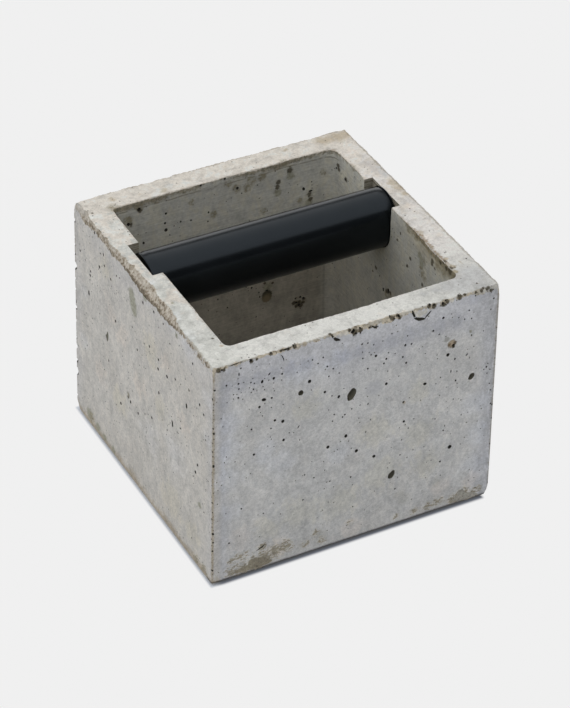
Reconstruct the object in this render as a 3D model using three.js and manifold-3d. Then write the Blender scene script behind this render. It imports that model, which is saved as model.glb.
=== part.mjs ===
// Espresso knock box: an open box cast in concrete, with a rubber-covered bar across it that
// a portafilter is struck on to drop its spent coffee. The bar lies in two slots that are open
// at the rim, and lifts straight out for washing. The box stands on four pads.
//
// Millimetres, +Z up. X runs along the bar, and -Y is the front. The origin is under the
// middle of the box, on the surface that the pads stand on.

import * as THREE from 'three';
import { mergeVertices } from 'three/addons/utils/BufferGeometryUtils.js';
import Module from 'manifold-3d';

// Cast body, outside. The sides lean out on the way down, because it is cast upside down.
const rimWidth = 150;
const rimDepth = 152.3;
const bodyHeight = 126.4;
const outsideDraft = 1.6;
const outsideCornerRadius = 1.6;
const arrisRadius = 0.9;

// Cavity. The walls have their own thickness at the rim, and grow thicker with depth.
const sideWall = 12.5;
const frontWall = 13.2;
const backWall = 14;
const floorThickness = 14;
const cavityDraft = 1.6;
const cavityCornerRadius = 6;
const cavityFloorFillet = 5.5;

// Knock bar: an upright oval sleeve over a tube, with a plug in each end of the tube.
const barWidth = 26.8;
const barHeight = 31.2;
const barOffset = 16.8;
const barProud = 1.4;
const sleeveEdgeRadius = 0.8;
const tubeDiameter = 16;
const tubeWall = 1.5;
const plugHeadThickness = 1.6;
const plugStemLength = 12;
const plugEdgeRadius = 0.4;

// Slots that hold the bar's ends, sunk into the inner faces of the side walls.
const slotDepth = 3.8;
const slotSideClearance = 0.5;
const barEndClearance = 0.4;

// Pads, each in a round recess under the base.
const padDiameter = 18;
const padThickness = 3;
const padProud = 1.2;
const padInset = 22;
const padEdgeRadius = 0.5;
const padSideClearance = 0.5;

// Touching pieces are kept this far apart, and a cut runs this far past what it cuts.
const seatGap = 0.3;
const overrun = 2;

// An end rounding is at most this share of the corner radius, so that no corner folds over.
const cornerLimitShare = 0.95;

// Steps of the round stretches: an arc in an outline has twice as many.
const cornerSteps = 4;
const filletSteps = 5;
const arrisSteps = 3;
const barSteps = 14;
const turnedSteps = 40;

// Heights and widths that follow from the sizes above.
const baseZ = padProud;
const rimZ = baseZ + bodyHeight;
const cavityFloorZ = baseZ + floorThickness;
const baseWidth = rimWidth + 2 * outsideDraft;
const baseDepth = rimDepth + 2 * outsideDraft;
const cavityWidth = rimWidth - 2 * sideWall;
const cavityDepth = rimDepth - frontWall - backWall;
const cavityY = (frontWall - backWall) / 2;
const barZ = rimZ + barProud - barHeight / 2;
const barRadius = barWidth / 2;
const barRise = barHeight / 2 - barRadius;
const slotReach = cavityWidth + 2 * slotDepth;
const barLength = slotReach - 2 * barEndClearance;
const tubeLength = barLength - 2 * (plugHeadThickness + seatGap);
const padZ = baseZ - padProud;

// Materials
const finishes = {
  concrete: { color: 0xc6c6c2, roughness: 0.85, metalness: 0 },
  rubber: { color: 0x26292c, roughness: 0.5, metalness: 0 },
  steel: { color: 0xb4b6b8, roughness: 0.3, metalness: 1 },
  plug: { color: 0x17181a, roughness: 0.6, metalness: 0 },
  pad: { color: 0x2b2b2b, roughness: 0.8, metalness: 0 },
};

const wasm = await Module();
wasm.setup();

// Outlines

function roundedRectangle(width, depth, radius) {
  const x = width / 2;
  const y = depth / 2;
  const shape = new THREE.Shape();
  shape.moveTo(x, y - radius);
  shape.absarc(x - radius, y - radius, radius, 0, Math.PI / 2);
  shape.absarc(radius - x, y - radius, radius, Math.PI / 2, Math.PI);
  shape.absarc(radius - x, radius - y, radius, Math.PI, 1.5 * Math.PI);
  shape.absarc(x - radius, radius - y, radius, 1.5 * Math.PI, 2 * Math.PI);
  return shape;
}

// Two half circles, with their middles rise above and below the oval's own: a circle at no rise.
function uprightOval(radius, rise) {
  const shape = new THREE.Shape();
  shape.absarc(0, rise, radius, 0, Math.PI);
  shape.absarc(0, -rise, radius, Math.PI, 2 * Math.PI);
  shape.closePath();
  return shape;
}

// A slot with a round bottom below its own middle and straight sides up to a height.
function openSlot(radius, rise, top) {
  const shape = new THREE.Shape();
  shape.moveTo(radius, top);
  shape.lineTo(-radius, top);
  shape.absarc(0, -rise, radius, Math.PI, 2 * Math.PI);
  shape.closePath();
  return shape;
}

// Solids

function toManifold(geometry) {
  const bare = geometry.clone();
  bare.deleteAttribute('normal');
  bare.deleteAttribute('uv');
  const merged = mergeVertices(bare);
  return new wasm.Manifold(new wasm.Mesh({
    numProp: 3,
    vertProperties: new Float32Array(merged.attributes.position.array),
    triVerts: new Uint32Array(merged.index.array),
  }));
}

function toGeometry(manifold) {
  const mesh = manifold.getMesh();
  const geometry = new THREE.BufferGeometry();
  geometry.setAttribute('position', new THREE.BufferAttribute(mesh.vertProperties, mesh.numProp));
  geometry.setIndex(new THREE.BufferAttribute(mesh.triVerts, 1));
  return geometry;
}

// A block between two heights, with its long edges and its ends rounded.
function roundedBlock(width, depth, cornerRadius, lowZ, highZ, endRadius, endSteps) {
  const rounding = Math.min(endRadius, cornerRadius * cornerLimitShare);
  const geometry = new THREE.ExtrudeGeometry(roundedRectangle(width, depth, cornerRadius), {
    depth: highZ - lowZ - 2 * rounding,
    curveSegments: cornerSteps,
    bevelEnabled: true,
    bevelThickness: rounding,
    bevelSize: rounding,
    bevelOffset: -rounding,
    bevelSegments: endSteps,
  });
  return geometry.translate(0, 0, lowZ + rounding);
}

// Leans the four sides: the half width and half depth change by lean over the given height.
function leanSides(geometry, width, depth, zeroZ, fullZ, lean) {
  const points = geometry.attributes.position;
  for (let i = 0; i < points.count; i += 1) {
    const share = (points.getZ(i) - zeroZ) / (fullZ - zeroZ);
    points.setX(i, points.getX(i) * (1 + share * lean / (width / 2)));
    points.setY(i, points.getY(i) * (1 + share * lean / (depth / 2)));
  }
  return geometry;
}

// Turns an outline drawn in Y and Z, extruded along its own axis, to lie along X about its middle.
function alongX(outline, length, steps, endRadius) {
  const geometry = new THREE.ExtrudeGeometry(outline, {
    depth: length - 2 * endRadius,
    curveSegments: steps,
    bevelEnabled: endRadius > 0,
    bevelThickness: endRadius,
    bevelSize: endRadius,
    bevelOffset: -endRadius,
    bevelSegments: arrisSteps,
  });
  geometry.translate(0, 0, endRadius - length / 2);
  geometry.rotateX(Math.PI / 2);
  return geometry.rotateZ(Math.PI / 2);
}

function concreteBody() {
  const outside = roundedBlock(
    rimWidth, rimDepth, outsideCornerRadius, baseZ, rimZ, arrisRadius, arrisSteps);
  leanSides(outside, rimWidth, rimDepth, rimZ, baseZ, outsideDraft);

  const cavityTopZ = rimZ + cavityFloorFillet + overrun;
  const cavity = roundedBlock(
    cavityWidth, cavityDepth, cavityCornerRadius,
    cavityFloorZ, cavityTopZ, cavityFloorFillet, filletSteps);
  leanSides(cavity, cavityWidth, cavityDepth, rimZ, cavityFloorZ, -cavityDraft);
  cavity.translate(0, cavityY, 0);

  const slot = alongX(
    openSlot(barRadius + slotSideClearance, barRise - slotSideClearance + seatGap,
      barHeight / 2 + overrun),
    slotReach, barSteps, 0);
  slot.translate(0, barOffset, barZ);

  let body = toManifold(outside).subtract(toManifold(cavity)).subtract(toManifold(slot));
  for (const [x, y] of padPlaces()) {
    const recess = new THREE.CylinderGeometry(
      padDiameter / 2 + padSideClearance, padDiameter / 2 + padSideClearance,
      padRecess() + overrun, turnedSteps);
    recess.rotateX(Math.PI / 2);
    recess.translate(x, y, baseZ + (padRecess() - overrun) / 2);
    body = body.subtract(toManifold(recess));
  }
  return toGeometry(body);
}

function barSleeve() {
  const outline = uprightOval(barRadius, barRise);
  outline.holes.push(uprightOval(tubeDiameter / 2 + seatGap, 0));
  return alongX(outline, barLength, barSteps, sleeveEdgeRadius);
}

function barTube() {
  const outline = uprightOval(tubeDiameter / 2, 0);
  outline.holes.push(uprightOval(tubeDiameter / 2 - tubeWall, 0));
  return alongX(outline, tubeLength, barSteps, 0);
}

// A plug with its head at the bar's end and its stem inside the tube, pointing to -X or +X.
function barPlug(side) {
  const stemRadius = tubeDiameter / 2 - tubeWall - seatGap;
  const headRadius = tubeDiameter / 2;
  const profile = new THREE.Path();
  profile.moveTo(0, 0);
  profile.lineTo(stemRadius - plugEdgeRadius, 0);
  profile.lineTo(stemRadius, plugEdgeRadius);
  profile.lineTo(stemRadius, plugStemLength);
  profile.lineTo(headRadius, plugStemLength);
  profile.lineTo(headRadius, plugStemLength + plugHeadThickness - plugEdgeRadius);
  profile.lineTo(headRadius - plugEdgeRadius, plugStemLength + plugHeadThickness);
  profile.lineTo(0, plugStemLength + plugHeadThickness);
  const geometry = new THREE.LatheGeometry(profile.getPoints(), turnedSteps);
  geometry.rotateZ(-side * Math.PI / 2);
  return geometry.translate(side * (barLength / 2 - plugStemLength - plugHeadThickness), 0, 0);
}

function footPad() {
  const radius = padDiameter / 2;
  const profile = new THREE.Path();
  profile.moveTo(0, 0);
  profile.lineTo(radius - padEdgeRadius, 0);
  profile.lineTo(radius, padEdgeRadius);
  profile.lineTo(radius, padThickness);
  profile.lineTo(0, padThickness);
  const geometry = new THREE.LatheGeometry(profile.getPoints(), turnedSteps);
  return geometry.rotateX(Math.PI / 2);
}

function padRecess() {
  return padThickness - padProud + seatGap;
}

function padPlaces() {
  const x = baseWidth / 2 - padInset;
  const y = baseDepth / 2 - padInset;
  return [[-x, -y], [x, -y], [-x, y], [x, y]];
}

// Assembly

function piece(name, geometry, finish) {
  const mesh = new THREE.Mesh(geometry, new THREE.MeshStandardMaterial(finish));
  mesh.name = name;
  return mesh;
}

const group = new THREE.Group();

group.add(piece('concrete_body', concreteBody(), finishes.concrete));

const knockBar = new THREE.Group();
knockBar.position.set(0, barOffset, barZ);
knockBar.add(piece('bar_sleeve', barSleeve(), finishes.rubber));
knockBar.add(piece('bar_tube', barTube(), finishes.steel));
knockBar.add(piece('bar_plug_left', barPlug(-1), finishes.plug));
knockBar.add(piece('bar_plug_right', barPlug(1), finishes.plug));
group.add(knockBar);

const padNames = ['foot_pad_front_left', 'foot_pad_front_right', 'foot_pad_back_left',
  'foot_pad_back_right'];
padPlaces().forEach(([x, y], index) => {
  const pad = piece(padNames[index], footPad(), finishes.pad);
  pad.position.set(x, y, padZ);
  group.add(pad);
});

export default group;
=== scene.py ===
# %% [markdown]
# # A concrete espresso knock box
#
# A knock box catches the spent coffee puck: the portafilter is rapped on a padded bar and the puck falls
# into the box. This one is a thick cast concrete box with an open top. A rubber-sleeved bar lies across it
# in two slots and lifts straight out for cleaning. The lesson builds its looks around the solids that the
# workshop has already made, so every size starts from those solids.

# %% Open the solids
import math
import random

import bmesh
import bpy
import numpy as np
from mathutils import Matrix, Vector, noise


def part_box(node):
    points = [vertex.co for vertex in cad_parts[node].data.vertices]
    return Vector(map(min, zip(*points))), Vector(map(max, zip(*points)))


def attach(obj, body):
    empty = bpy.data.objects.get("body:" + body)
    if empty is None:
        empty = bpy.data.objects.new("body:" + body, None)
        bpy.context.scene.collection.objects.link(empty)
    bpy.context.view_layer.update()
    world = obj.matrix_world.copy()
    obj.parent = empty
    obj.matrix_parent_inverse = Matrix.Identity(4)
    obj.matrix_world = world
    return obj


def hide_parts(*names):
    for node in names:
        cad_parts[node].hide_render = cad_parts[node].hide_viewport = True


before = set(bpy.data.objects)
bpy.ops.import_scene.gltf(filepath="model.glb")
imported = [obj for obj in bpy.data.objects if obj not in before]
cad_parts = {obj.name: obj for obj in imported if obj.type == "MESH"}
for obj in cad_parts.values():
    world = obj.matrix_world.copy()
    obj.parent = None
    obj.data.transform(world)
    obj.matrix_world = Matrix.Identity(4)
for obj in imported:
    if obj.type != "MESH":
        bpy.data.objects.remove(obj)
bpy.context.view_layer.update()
print("solids:", ", ".join(sorted(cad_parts)))

# %% [markdown]
# ## The view
#
# The photograph was taken from the front left and from above, with a long lens. A camera in Blender needs a
# place, a turn and a lens. All three were found from the corners of the box in the picture, whose real
# distances are known. The camera comes first because some marks of the concrete are placed by where they
# are in the picture.

# %% Camera
PHOTO_WIDTH, PHOTO_HEIGHT = 570, 708
MM = 0.001
camera_place = Vector((-527.02, -982.18, 892.67)) * MM
camera_yaw, camera_pitch, camera_roll = map(math.radians, (28.33, 36.73, 1.12))
sensor = 36.0
lens = 143.46
focal_pixels = lens / sensor * PHOTO_HEIGHT

forward = Vector((
    math.sin(camera_yaw) * math.cos(camera_pitch),
    math.cos(camera_yaw) * math.cos(camera_pitch),
    -math.sin(camera_pitch),
))
camera_turn = forward.to_track_quat("-Z", "Y").to_matrix() @ Matrix.Rotation(camera_roll, 3, "Z")

camera_data = bpy.data.cameras.new("camera")
camera_data.lens = lens
camera_data.sensor_width = sensor
camera = bpy.data.objects.new("camera", camera_data)
camera.matrix_world = Matrix.Translation(camera_place) @ camera_turn.to_4x4()
bpy.context.scene.collection.objects.link(camera)
bpy.context.scene.camera = camera
print("lens", lens, "mm at", round(camera_place.length, 3), "m")


# %% From a pixel to a point on a face
def sight(x, y):
    """The direction from the camera through a point of the photograph, given in its pixels."""
    local = Vector((x - PHOTO_WIDTH / 2, PHOTO_HEIGHT / 2 - y, -focal_pixels))
    return (camera_turn @ local).normalized()


def on_plane(x, y, point, normal):
    """Where the line of sight through a pixel meets a plane."""
    line = sight(x, y)
    return camera_place + line * ((point - camera_place).dot(normal) / line.dot(normal))


def pixel_of(point):
    """Where a point of the room shows in the photograph."""
    local = camera_turn.transposed() @ (point - camera_place)
    return (PHOTO_WIDTH / 2 - focal_pixels * local.x / local.z,
            PHOTO_HEIGHT / 2 + focal_pixels * local.y / local.z)


# %% [markdown]
# ## Sizes of the concrete
#
# The outside comes from the solid's own box. Inside sizes aren't in any box, so they are named here as the
# workshop names them: wall thicknesses, the draft that lets a casting leave its mould, and the radii of
# arrises and corners.

# %% Named sizes
base_low, base_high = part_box("concrete_body")
BASE_Z, RIM_Z = base_low.z, base_high.z
OUTSIDE_DRAFT = 1.6 * MM
HALF_X = base_high.x - OUTSIDE_DRAFT
HALF_Y = base_high.y - OUTSIDE_DRAFT
CORNER_RADIUS = 0.8 * MM
ARRIS_RADIUS, BASE_ARRIS_RADIUS = 0.9 * MM, 0.4 * MM
SMALLEST_RADIUS = 0.2 * MM
SIDE_WALL, FRONT_WALL, BACK_WALL = 12.5 * MM, 13.2 * MM, 14.0 * MM
FLOOR_Z = BASE_Z + 14.0 * MM
CAVITY_DRAFT = 1.6 * MM
CAVITY_RADIUS = 6.0 * MM
CAVITY_RIM_RADII = [r * MM for r in (5.2, 1.5, 3.4, 3.0)]
INNER_ARRIS_RADIUS = 0.45 * MM
FLOOR_FILLET = 5.5 * MM
CAVITY_HALF_X = HALF_X - SIDE_WALL
CAVITY_HALF_Y = HALF_Y - (FRONT_WALL + BACK_WALL) / 2
CAVITY_Y = (FRONT_WALL - BACK_WALL) / 2
# Each side of the cavity: its name, the axis that it faces along, which way, and how far out it stands.
CAVITY_SIDES = (
    ("left", 0, -1, CAVITY_HALF_X), ("right", 0, 1, CAVITY_HALF_X),
    ("front", 1, -1, CAVITY_HALF_Y - CAVITY_Y), ("back", 1, 1, CAVITY_HALF_Y + CAVITY_Y),
)
print("rim", round(2000 * HALF_X, 1), "by", round(2000 * HALF_Y, 1), "mm, cavity",
      round(2000 * CAVITY_HALF_X, 1), "by", round(2000 * CAVITY_HALF_Y, 1), "mm")

# %% Check of the camera
for name, corner in {
    "front left": (-HALF_X, -HALF_Y, RIM_Z),
    "front right": (HALF_X, -HALF_Y, RIM_Z),
    "back left": (-HALF_X, HALF_Y, RIM_Z),
    "back right": (HALF_X, HALF_Y, RIM_Z),
    "low front left": (-base_high.x, -base_high.y, BASE_Z),
    "low front right": (base_high.x, -base_high.y, BASE_Z),
}.items():
    print(name, "corner shows at", [round(c, 1) for c in pixel_of(Vector(corner))])

# %% [markdown]
# ## The cast skin
#
# The body could be cut from a block, but a mesh made of rings is better here: its faces are even, so they
# can carry the slight unevenness of a hand-cast wall. Each ring is a rounded rectangle. The rings climb the
# outside, cross the rim and go down the inside to the floor.


# %% Rings
CORNER_STEPS, SIDE_STEPS = 5, 66
CORNERS = ((1, 1), (-1, 1), (-1, -1), (1, -1))


def ring(half_x, half_y, radii, z, middle_y=0.0):
    """A rounded rectangle as an array of points. The radii are of its back right, back left, front left and
    front right corners."""
    arcs = []
    for quarter, (sign_x, sign_y) in enumerate(CORNERS):
        radius = radii[quarter]
        for k in range(CORNER_STEPS + 1):
            angle = math.pi / 2 * (quarter + k / CORNER_STEPS)
            arcs.append((sign_x * (half_x - radius) + radius * math.cos(angle),
                         middle_y + sign_y * (half_y - radius) + radius * math.sin(angle), z))
    arcs = np.array(arcs)
    pieces = []
    for quarter in range(4):
        arc = arcs[quarter * (CORNER_STEPS + 1):(quarter + 1) * (CORNER_STEPS + 1)]
        after = arcs[(quarter + 1) * (CORNER_STEPS + 1) % len(arcs)]
        shares = np.arange(1, SIDE_STEPS)[:, None] / SIDE_STEPS
        pieces += [arc, arc[-1] + (after - arc[-1]) * shares]
    return np.concatenate(pieces)


def outside_lean(z):
    """How much further out the outside stands at a height than at the rim."""
    return OUTSIDE_DRAFT * (RIM_Z - z) / (RIM_Z - BASE_Z)


def outside_ring(z, inset=0.0):
    lean = outside_lean(z)
    radius = max(CORNER_RADIUS - inset, SMALLEST_RADIUS)
    return ring(HALF_X + lean - inset, HALF_Y + lean - inset, [radius] * 4, z)


# How far each side of the cavity's rim stands in from a straight line, in millimetres, at places along it.
RIM_WANDER = {
    "left": ((-63, 0.6), (-35, 0.6), (-30, 0.9), (-20, 0.6), (28, 0.9), (50, 1.2), (62, 1.7)),
    "right": ((-63, 1.4), (-35, 1.6), (-26, 0.8), (-5, 1.1), (30, 0.9), (38, 0.3), (62, 0.7)),
    "front": ((-62, 0.2), (-45, 0.7), (-20, 0.4), (0, 0.0), (20, 0.5), (45, 0.8), (62, 1.2)),
    "back": ((-62, 0.1), (-40, -0.4), (0, -0.7), (25, -0.3), (35, -0.9), (62, -0.6)),
}


def rim_wander(side, place):
    """How far the named side of the cavity's rim stands in, in metres, at a place in metres along it."""
    along, step = zip(*RIM_WANDER[side])
    return np.interp(place / MM, along, step) * MM


EVEN_CORNERS_TO, CORNERS_CHANGE_OVER = 12 * MM, 70 * MM
WANDER_DOWN_TO, WANDER_FADES_OVER = 8 * MM, 40 * MM
SIDE_STARTS, SIDE_FADES_OVER = 9 * MM, 7 * MM


def inside_ring(z, inset=0.0):
    """The cavity's corners and sides are uneven at the rim, and they even out towards the floor."""
    lean = -CAVITY_DRAFT * (RIM_Z - z) / (RIM_Z - FLOOR_Z)
    share = min(max((z - FLOOR_Z - EVEN_CORNERS_TO) / CORNERS_CHANGE_OVER, 0), 1)
    radii = [CAVITY_RADIUS + (r - CAVITY_RADIUS) * share - inset for r in CAVITY_RIM_RADII]
    points = ring(CAVITY_HALF_X + lean - inset, CAVITY_HALF_Y + lean - inset, radii, z, CAVITY_Y)
    near_rim = min(max(1 - (RIM_Z - z - WANDER_DOWN_TO) / WANDER_FADES_OVER, 0), 1)
    for side, axis, sign, edge in CAVITY_SIDES:
        closeness = np.clip((sign * points[:, axis] - edge + SIDE_STARTS) / SIDE_FADES_OVER, 0, 1)
        points[:, axis] -= sign * rim_wander(side, points[:, 1 - axis]) * closeness * near_rim
    return points


def steps_between(low, high, step):
    """Even places from low to high, about a step apart."""
    return np.linspace(low, high, max(2, round(abs(high - low) / step) + 1))


# %% The whole skin
def rounding(radius, turn):
    """How far a rounded arris stands back from the two faces that it joins, at a turn along it."""
    return radius * (1 - math.sin(turn)), radius * (1 - math.cos(turn))


QUARTER_TURN = np.radians([0, 30, 60, 90])
FLOOR_TURN = np.radians([18, 36, 54, 72, 90])
SKIN_STEP, RIM_STEPS = 2.1 * MM, 6
BASE_MARGIN, FLOOR_MARGIN = 4 * MM, 3 * MM

rings = [outside_ring(BASE_Z, BASE_MARGIN)]
for turn in QUARTER_TURN[::-1]:
    up, inset = rounding(BASE_ARRIS_RADIUS, turn)
    rings.append(outside_ring(BASE_Z + up, inset))
for z in steps_between(BASE_Z + BASE_ARRIS_RADIUS, RIM_Z - ARRIS_RADIUS, SKIN_STEP)[1:-1]:
    rings.append(outside_ring(z))
for turn in QUARTER_TURN:
    down, inset = rounding(ARRIS_RADIUS, turn)
    rings.append(outside_ring(RIM_Z - down, inset))

outer_lip = rings[-1]
inner_lip = inside_ring(RIM_Z, -INNER_ARRIS_RADIUS)
for share in np.linspace(0, 1, RIM_STEPS + 1)[1:-1]:
    rings.append(outer_lip + (inner_lip - outer_lip) * share)

for turn in QUARTER_TURN[::-1]:
    down, outset = rounding(INNER_ARRIS_RADIUS, turn)
    rings.append(inside_ring(RIM_Z - down, -outset))
for z in steps_between(RIM_Z - INNER_ARRIS_RADIUS, FLOOR_Z + FLOOR_FILLET, SKIN_STEP)[1:]:
    rings.append(inside_ring(z))
for turn in FLOOR_TURN:
    up, inset = rounding(FLOOR_FILLET, turn)
    rings.append(inside_ring(FLOOR_Z + up, inset))
rings.append(inside_ring(FLOOR_Z, FLOOR_FILLET + FLOOR_MARGIN))
print(len(rings), "rings of", len(rings[0]), "points")


# %% Mesh helpers
def mesh_object(name, points, faces):
    """A mesh object from points and faces, with its normals turned outwards."""
    mesh = bpy.data.meshes.new(name)
    mesh.from_pydata([tuple(p) for p in points], [], [tuple(int(i) for i in f) for f in faces])
    made = bmesh.new()
    made.from_mesh(mesh)
    bmesh.ops.recalc_face_normals(made, faces=made.faces)
    made.to_mesh(mesh)
    made.free()
    thing = bpy.data.objects.new(name, mesh)
    bpy.context.scene.collection.objects.link(thing)
    return thing


def strip_faces(rows, columns):
    """The four-sided faces between rows of points, each row closed on itself."""
    faces = []
    for r in range(rows - 1):
        for c in range(columns):
            a, b = r * columns + c, r * columns + (c + 1) % columns
            faces.append((a, b, b + columns, a + columns))
    return faces


def loft(rows):
    """Points and faces of a closed shape through rows of points, with a flat face at each end."""
    count = len(rows[0])
    ends = [tuple(range(count)), tuple(range((len(rows) - 1) * count, len(rows) * count))]
    return [p for row in rows for p in row], strip_faces(len(rows), count) + ends


def read_vectors(items, what):
    """A vector of each point or face of a mesh, as the rows of an array."""
    values = np.zeros(len(items) * 3)
    items.foreach_get(what, values)
    return values.reshape(-1, 3)


def rough(point, size, seed=0.0):
    """Smooth noise from -1 to 1 that changes over the given size."""
    return noise.noise(Vector(point) / size + Vector((seed, 2.7 * seed, -1.3 * seed)))


# %% Cast the body
body = mesh_object("box_concrete", *loft(rings))

points = read_vectors(body.data.vertices, "co")
normals = read_vectors(body.data.vertices, "normal")
BROAD_WAVE, BROAD_SIZE = 0.14 * MM, 34 * MM
SMALL_WAVE, SMALL_SIZE = 0.07 * MM, 9 * MM
sunk = [
    BROAD_WAVE * (0.5 + 0.5 * rough(p, BROAD_SIZE)) + SMALL_WAVE * (0.5 + 0.5 * rough(p, SMALL_SIZE, 4.0))
    for p in points
]
points -= normals * np.array(sunk)[:, None]

# The top leans out a little at the right and the back.
RIGHT_OUT, BACK_OUT = 1.0 * MM, 0.9 * MM
LEAN_STARTS, LEAN_GROWS_OVER = 10 * MM, 8 * MM
rise = (np.maximum(points[:, 2] - BASE_Z, 0) / (RIM_Z - BASE_Z)) ** 0.75
for axis, edge, out in ((0, HALF_X, RIGHT_OUT), (1, HALF_Y, BACK_OUT)):
    closeness = np.clip((points[:, axis] - edge + LEAN_STARTS) / LEAN_GROWS_OVER, 0, 1)
    points[:, axis] += out * rise * closeness
body.data.vertices.foreach_set("co", points.ravel())
body.data.update()
print("skin:", len(body.data.polygons), "faces")

# %% [markdown]
# ## Cutting
#
# Slots, pores, chips and cracks are real hollows in the concrete, so they are cut with a Boolean modifier.
# Its Manifold solver is fast and exact on closed meshes. Shapes cut in one go may not overlap each other,
# so they are cut in several groups. Each cutter brings a material slot of its own, and that slot marks the
# faces that it leaves behind.

# %% Cut one group
KINDS = ("skin", "seat", "broken", "pore", "wide_pore", "crack", "scratch", "peeled")
marks = {kind: bpy.data.materials.new("mark_" + kind) for kind in KINDS}
body.data.materials.append(marks["skin"])


def cut(kind, shapes):
    """Takes closed shapes out of the body and marks the faces that they leave."""
    cutter = mesh_object("cutter_" + kind, shapes.points, shapes.faces)
    cutter.data.materials.append(marks[kind])
    modifier = body.modifiers.new("cut", "BOOLEAN")
    modifier.operation = "DIFFERENCE"
    modifier.solver = "MANIFOLD"
    modifier.object = cutter
    modifier.material_mode = "TRANSFER"
    ready = bpy.data.meshes.new_from_object(body.evaluated_get(bpy.context.evaluated_depsgraph_get()))
    body.modifiers.clear()
    old = body.data
    body.data = ready
    bpy.data.meshes.remove(old)
    bpy.data.objects.remove(cutter)
    print("cut", kind, "->", len(ready.polygons), "faces")


class Shapes:
    """Closed shapes gathered for one cut."""

    def __init__(self):
        self.points, self.faces = [], []

    def add(self, points, faces):
        start = len(self.points)
        self.points.extend(tuple(p) for p in points)
        self.faces.extend(tuple(start + i for i in f) for f in faces)


# %% [markdown]
# ## Slots and recesses
#
# Two slots in the side walls carry the bar. They are open at the top and round at the bottom, a little
# wider than the bar. Four round recesses under the base hold the pads.

# %% Sizes of the bar and its slots
sleeve_low, sleeve_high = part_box("bar_sleeve")
BAR_RADIUS = (sleeve_high.y - sleeve_low.y) / 2
BAR_Y = (sleeve_high.y + sleeve_low.y) / 2
BAR_Z = (sleeve_high.z + sleeve_low.z) / 2
BAR_RISE = (sleeve_high.z - sleeve_low.z) / 2 - BAR_RADIUS
SLOT_SIDE_CLEARANCE, BAR_END_CLEARANCE, SEAT_GAP = 0.5 * MM, 0.4 * MM, 0.3 * MM
SLOT_REACH = sleeve_high.x + BAR_END_CLEARANCE
LEFT_SLOT_DEEPER = 1.2 * MM
SEAT_GRAIN = 0.15 * MM
OVERRUN = 2 * MM
pad_low, pad_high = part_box("foot_pad_front_right")
PAD_RADIUS = (pad_high.x - pad_low.x) / 2
bar_sizes = [round(2000 * s, 1) for s in (BAR_RADIUS, BAR_RADIUS + BAR_RISE)]
print("bar", bar_sizes, "mm at y", round(1000 * BAR_Y, 1))


# %% Cut the slots
def slot_outline(steps):
    """The section of a slot as (y, z) pairs: two upright sides and a half round bottom."""
    radius = BAR_RADIUS + SLOT_SIDE_CLEARANCE
    low = BAR_Z - BAR_RISE + SLOT_SIDE_CLEARANCE - SEAT_GAP
    top = RIM_Z + OVERRUN
    sides = [(BAR_Y + radius, z) for z in np.linspace(top, low, 12)]
    turns = np.linspace(0, math.pi, steps)[1:-1]
    arc = [(BAR_Y + radius * math.cos(turn), low - radius * math.sin(turn)) for turn in turns]
    return sides + arc + [(2 * BAR_Y - y, z) for y, z in sides[::-1]]


outline = np.array(slot_outline(24))
middle = outline.mean(axis=0)
slots = Shapes()
for side in (-1, 1):
    rows = []
    reach = SLOT_REACH + (LEFT_SLOT_DEEPER if side < 0 else 0)
    for x in (CAVITY_HALF_X - 3 * MM, CAVITY_HALF_X + 0.6 * MM, (CAVITY_HALF_X + reach) / 2, reach):
        rows.append([(side * x, y, z) for y, z in outline])
    for share in (0.93, 0.7, 0.45, 0.2):
        inner = middle + (outline - middle) * share
        rows.append([(side * (reach + SEAT_GRAIN * rough((y, z, side), 3 * MM)), y, z) for y, z in inner])
    slots.add(*loft(rows))
cut("seat", slots)

# %% Cut the pad recesses
RECESS_SIDES = 48
recesses = Shapes()
for node in ("front_left", "front_right", "back_left", "back_right"):
    low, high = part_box("foot_pad_" + node)
    x, y, radius = (low.x + high.x) / 2, (low.y + high.y) / 2, PAD_RADIUS + SLOT_SIDE_CLEARANCE
    turns = np.linspace(0, 2 * math.pi, RECESS_SIDES + 1)[:-1]
    recesses.add(*loft([
        [(x + radius * math.cos(turn), y + radius * math.sin(turn), z) for turn in turns]
        for z in (BASE_Z - OVERRUN, high.z + SEAT_GAP)]))
cut("seat", recesses)

# %% [markdown]
# ## Worn arrises
#
# The sharp edges of a casting are called arrises. On this box the left one is broken along its whole length
# and shows sandy mortar, the front one has crumbs and chips, and the others are only nibbled. Each is cut
# by a long prism with one crumbly side, whose width follows what the photograph shows at each place.


# %% A crumbly prism
# How hollow the crumbly side is: 0 hugs the arris, 0.5 is a flat bevel and 1 is scooped out. The prism stands
# out of the concrete by its reach.
HOLLOW = 0.42
PRISM_REACH = 3 * MM


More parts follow.
